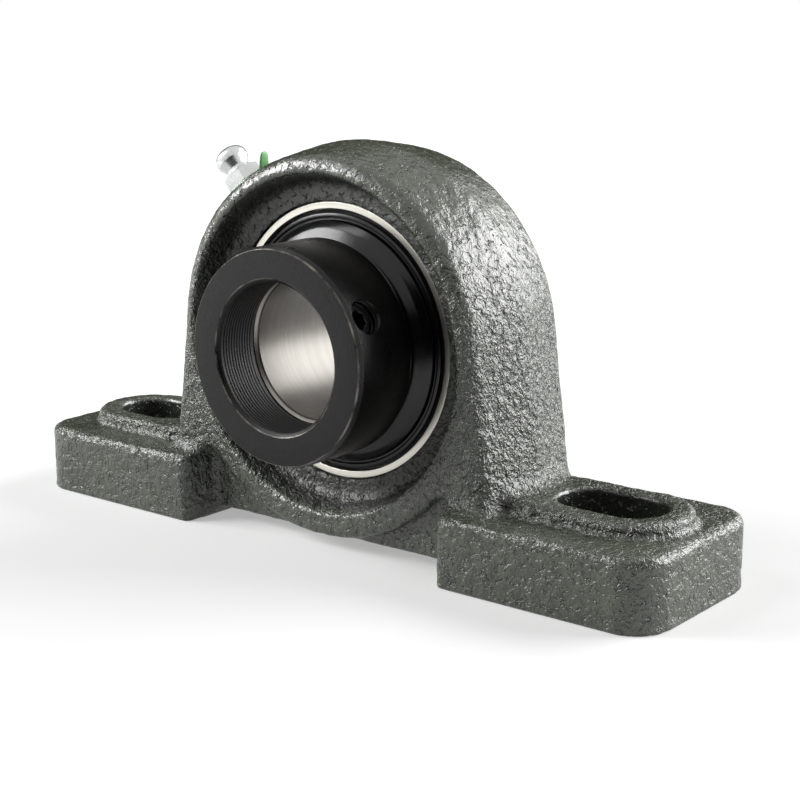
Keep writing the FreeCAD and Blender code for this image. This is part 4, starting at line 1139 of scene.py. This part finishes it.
rivet_tree, given = node_tree("ring_of_rivets", Rivet="Object", Count="Int",
                              Circle_Radius="Float", Start_Turn="Float", Shaft_Height="Float",
                              Material="Material")
circle = add_node(rivet_tree, "GeometryNodeMeshCircle", Vertices=given["Count"],
                  Radius=given["Circle Radius"])[0]
turn_about = add_node(rivet_tree, "ShaderNodeCombineXYZ", X=math.pi / 2,
                      Y=given["Start Turn"])[0]
lift = add_node(rivet_tree, "ShaderNodeCombineXYZ", Z=given["Shaft Height"])[0]
stood = add_node(rivet_tree, "GeometryNodeTransform", Geometry=circle, Rotation=turn_about,
                 Translation=lift)[0]
one_rivet = add_node(rivet_tree, "GeometryNodeObjectInfo", Object=given["Rivet"])["Geometry"]
copies = add_node(rivet_tree, "GeometryNodeInstanceOnPoints", Points=stood,
                  Instance=one_rivet)[0]
close_tree(rivet_tree, copies, given["Material"])

rivet_section = [(0, -1.15, 0), (0.5, -1.1, 0), (0.82, -0.95, 0.05), (0.95, -0.7, 0.02),
                 (0.5, -0.7, 0), (0.5, 0.7, 0), (0.95, 0.7, 0.02), (0.82, 0.95, 0.05),
                 (0.5, 1.1, 0), (0, 1.15, 0)]
one = turned_blank("one_rivet", rivet_section, 0.0, 32)
rivet_mesh = grown(rivet_tree, "rivets", Rivet=one, Count=BALLS, Circle_Radius=BALL_CIRCLE * MM,
                   Start_Turn=-math.pi / BALLS, Shaft_Height=SHAFT_HEIGHT * MM,
                   Material=CAGE_STEEL)
bpy.data.objects.remove(one)
rivets = dressed("domed_cage_rivets", rivet_mesh, CAGE_STEEL, "cage")
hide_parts("cage_rivets")
print("rivets:", len(rivets.data.polygons), "faces")

# %% [markdown]
# Inside the nipple a wound spring presses the check ball against its mouth. The helix tree winds
# it from a round profile. When grease pushes the ball in, the spring shortens; this piece rides on
# the housing at its full length.

# %% Spring of the nipple
SPRING_FOOT, SPRING_LENGTH, SPRING_TURNS = -4.456, 11.544, 7.0
WIRE_RADIUS, COIL_RADIUS, BALL_TRAVEL = 0.12, 0.78, 1.2

spring_mesh = grown(helix_tree, "spring", Radius=COIL_RADIUS * MM, Height=SPRING_LENGTH * MM,
                    Turns=SPRING_TURNS, Profile_Radius=WIRE_RADIUS * MM, Profile_Corners=10,
                    Steps=40, Material=WIRE)
spring_foot = Matrix.Translation((0, SPRING_FOOT * MM, 0))
upright_spring = nipple_frame @ spring_foot @ UPRIGHT_TO_Y
spring = dressed("wound_nipple_spring", moved(spring_mesh, upright_spring), WIRE,
                 "housing")
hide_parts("nipple_spring")
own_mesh(spring)
print("spring:", len(spring.data.polygons), "faces")

# %% [markdown]
# The pieces that stay as they are packed lie inside the bearing: balls, cage halves, seals and
# the nipple's check ball. They keep their shape and only get a finish, which goes on the
# object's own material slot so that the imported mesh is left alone.

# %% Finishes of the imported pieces
kept_finishes = {"cage_front_half": CAGE_STEEL, "cage_rear_half": CAGE_STEEL, "front_seal": RUBBER,
                 "rear_seal": RUBBER, "nipple_check_ball": BALL}
kept_finishes.update({f"ball_{number}": BALL for number in range(1, BALLS + 1)})
for node, finish in kept_finishes.items():
    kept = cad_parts[node]
    for place in kept.material_slots:
        place.link = "OBJECT"
        place.material = finish
print("packed pieces with a finish:", len(kept_finishes))

# %% [markdown]
# The floor is pale and the world behind it is white to the camera, so the object stands in an
# empty bright room. Camera, mirror and glass rays see the same white, and everything else is lit
# by a much weaker grey world. The floor stays an ordinary surface that keeps the shadow.

# %% Rays that see the background
def background_ray(tree):
    """1 for rays that should meet the plain background: camera, mirror and glass rays."""
    ray = tree.nodes.new("ShaderNodeLightPath")
    total = ray.outputs["Is Camera Ray"]
    for other in ("Is Glossy Ray", "Is Transmission Ray"):
        either = tree.nodes.new("ShaderNodeMath")
        either.operation = "MAXIMUM"
        tree.links.new(total, either.inputs[0])
        tree.links.new(ray.outputs[other], either.inputs[1])
        total = either.outputs[0]
    return total


print("background for camera, mirror and glass rays ready")

# %% Floor
def pale_floor():
    """Floor that is darker in the object's shadow and fades into the white background."""
    finish = Finish("pale_floor", Roughness=1.0)
    cloud = finish.noise(finish.place(), 60.0, 2.0)
    tint = finish.mix(cloud, (0.61, 0.61, 0.61), (0.63, 0.63, 0.63))
    reach = finish.vector_maths("LENGTH", finish.place(), output="Value")
    glow = (0.38 + reach.ramp(0.12, 1.1) * 0.62) * Signal(finish, background_ray(finish.tree))
    return finish.set(Base_Color=tint, Emission_Color=finish.mix(glow, (0, 0, 0), (1, 1, 1)),
                      Emission_Strength=1.0)


def flat_sheet(name, width, depth, material):
    """Rectangle about the origin, in metres."""
    corners = [(x * width / 2, y * depth / 2, 0) for x, y in ((-1, -1), (1, -1), (1, 1), (-1, 1))]
    mesh = new_mesh(name, corners, [(0, 1, 2, 3)])
    mesh.materials.append(material)
    return placed(name, mesh)


floor = flat_sheet("floor", 6.0, 6.0, pale_floor())
print("floor:", tuple(floor.dimensions)[:2], "m")

# %% World
world = bpy.data.worlds.new("studio")
world.use_nodes = True
bpy.context.scene.world = world
sky = world.node_tree
surround = sky.nodes["Background"]
surround.inputs["Color"].default_value = (1.0, 1.0, 1.0, 1.0)
surround.inputs["Strength"].default_value = 0.06
white = sky.nodes.new("ShaderNodeBackground")
white.inputs["Color"].default_value = (1.0, 1.0, 1.0, 1.0)
white.inputs["Strength"].default_value = 1.0
choose = sky.nodes.new("ShaderNodeMixShader")
sky.links.new(background_ray(sky), choose.inputs[0])
sky.links.new(surround.outputs[0], choose.inputs[1])
sky.links.new(white.outputs[0], choose.inputs[2])
sky.links.new(choose.outputs[0], sky.nodes["World Output"].inputs["Surface"])
print("world strength:", surround.inputs["Strength"].default_value)

# %% [markdown]
# In the photograph the right flank is bright and the front stays dark, so the main light is a
# large panel at the right, high and a little behind. A weaker one at the front left lifts the
# collar's face, and a small one above draws the light along the arch.

# %% Lights
def soft_panel(name, place, aim, width, height, power):
    """Area light of a size in metres that looks from a place towards a point."""
    light = bpy.data.lights.new(name, "AREA")
    light.shape = "RECTANGLE"
    light.size, light.size_y = width, height
    light.energy = power
    panel = bpy.data.objects.new(name, light)
    panel.location = place
    panel.rotation_euler = (Vector(aim) - Vector(place)).to_track_quat("-Z", "Y").to_euler()
    bpy.context.scene.collection.objects.link(panel)
    return panel


MIDDLE = (0.0, 0.0, 0.035)
soft_panel("right_rear_panel", (0.54, 0.76, 0.42), MIDDLE, 0.95, 0.8, 19.0)
soft_panel("left_panel", (-0.44, -0.26, 0.27), MIDDLE, 0.35, 0.22, 3.2)
soft_panel("top_panel", (-0.5, -0.5, 0.8), MIDDLE, 0.35, 0.35, 1.5)

# %% [markdown]
# Metal shows whatever stands round it. A photographer hangs dark cloth beside the lens, so that
# rounded edges get the dark line that sets them off from a white room. Three cloths do this: a
# wide one round the lens, one at the left rear, and a small one low in front. They are only met
# by mirror rays, so they hide nothing and shade nothing.

# %% Dark cloths
def dark_weave():
    finish = Finish("dark_cloth", Roughness=1.0, IOR=1.2)
    weave = finish.noise(finish.place(), 5.0)
    return finish.set(Base_Color=finish.mix(weave, (0.004, 0.004, 0.004), (0.008, 0.008, 0.008)))


CLOTH_BLACK = dark_weave()


def dark_cloth(name, towards, width, height, reach=0.9):
    """Cloth of a size in metres that hangs in a direction and is only met by mirror rays."""
    cloth = flat_sheet(name, width, height, CLOTH_BLACK)
    facing = Vector(towards).to_track_quat("Z", "Y").to_matrix().to_4x4()
    hook = Matrix.Translation(CAMERA_TARGET + Vector(towards).normalized() * reach)
    cloth.matrix_world = hook @ facing
    for ray_kind in ("camera", "diffuse", "transmission", "shadow", "volume_scatter"):
        setattr(cloth, "visible_" + ray_kind, False)


dark_cloth("cloth_beside_lens", CAMERA_BACK, 0.9, 0.7)
dark_cloth("cloth_left_rear", (-0.72, 0.60, 0.30), 1.1, 0.7)
dark_cloth("cloth_low_in_front", (0.35, -0.90, -0.12), 0.26, 0.12, 0.14)

# %% [markdown]
# Last, colours are shown through the Standard view transform.

# %% View transform
bpy.context.scene.view_settings.view_transform = "Standard"
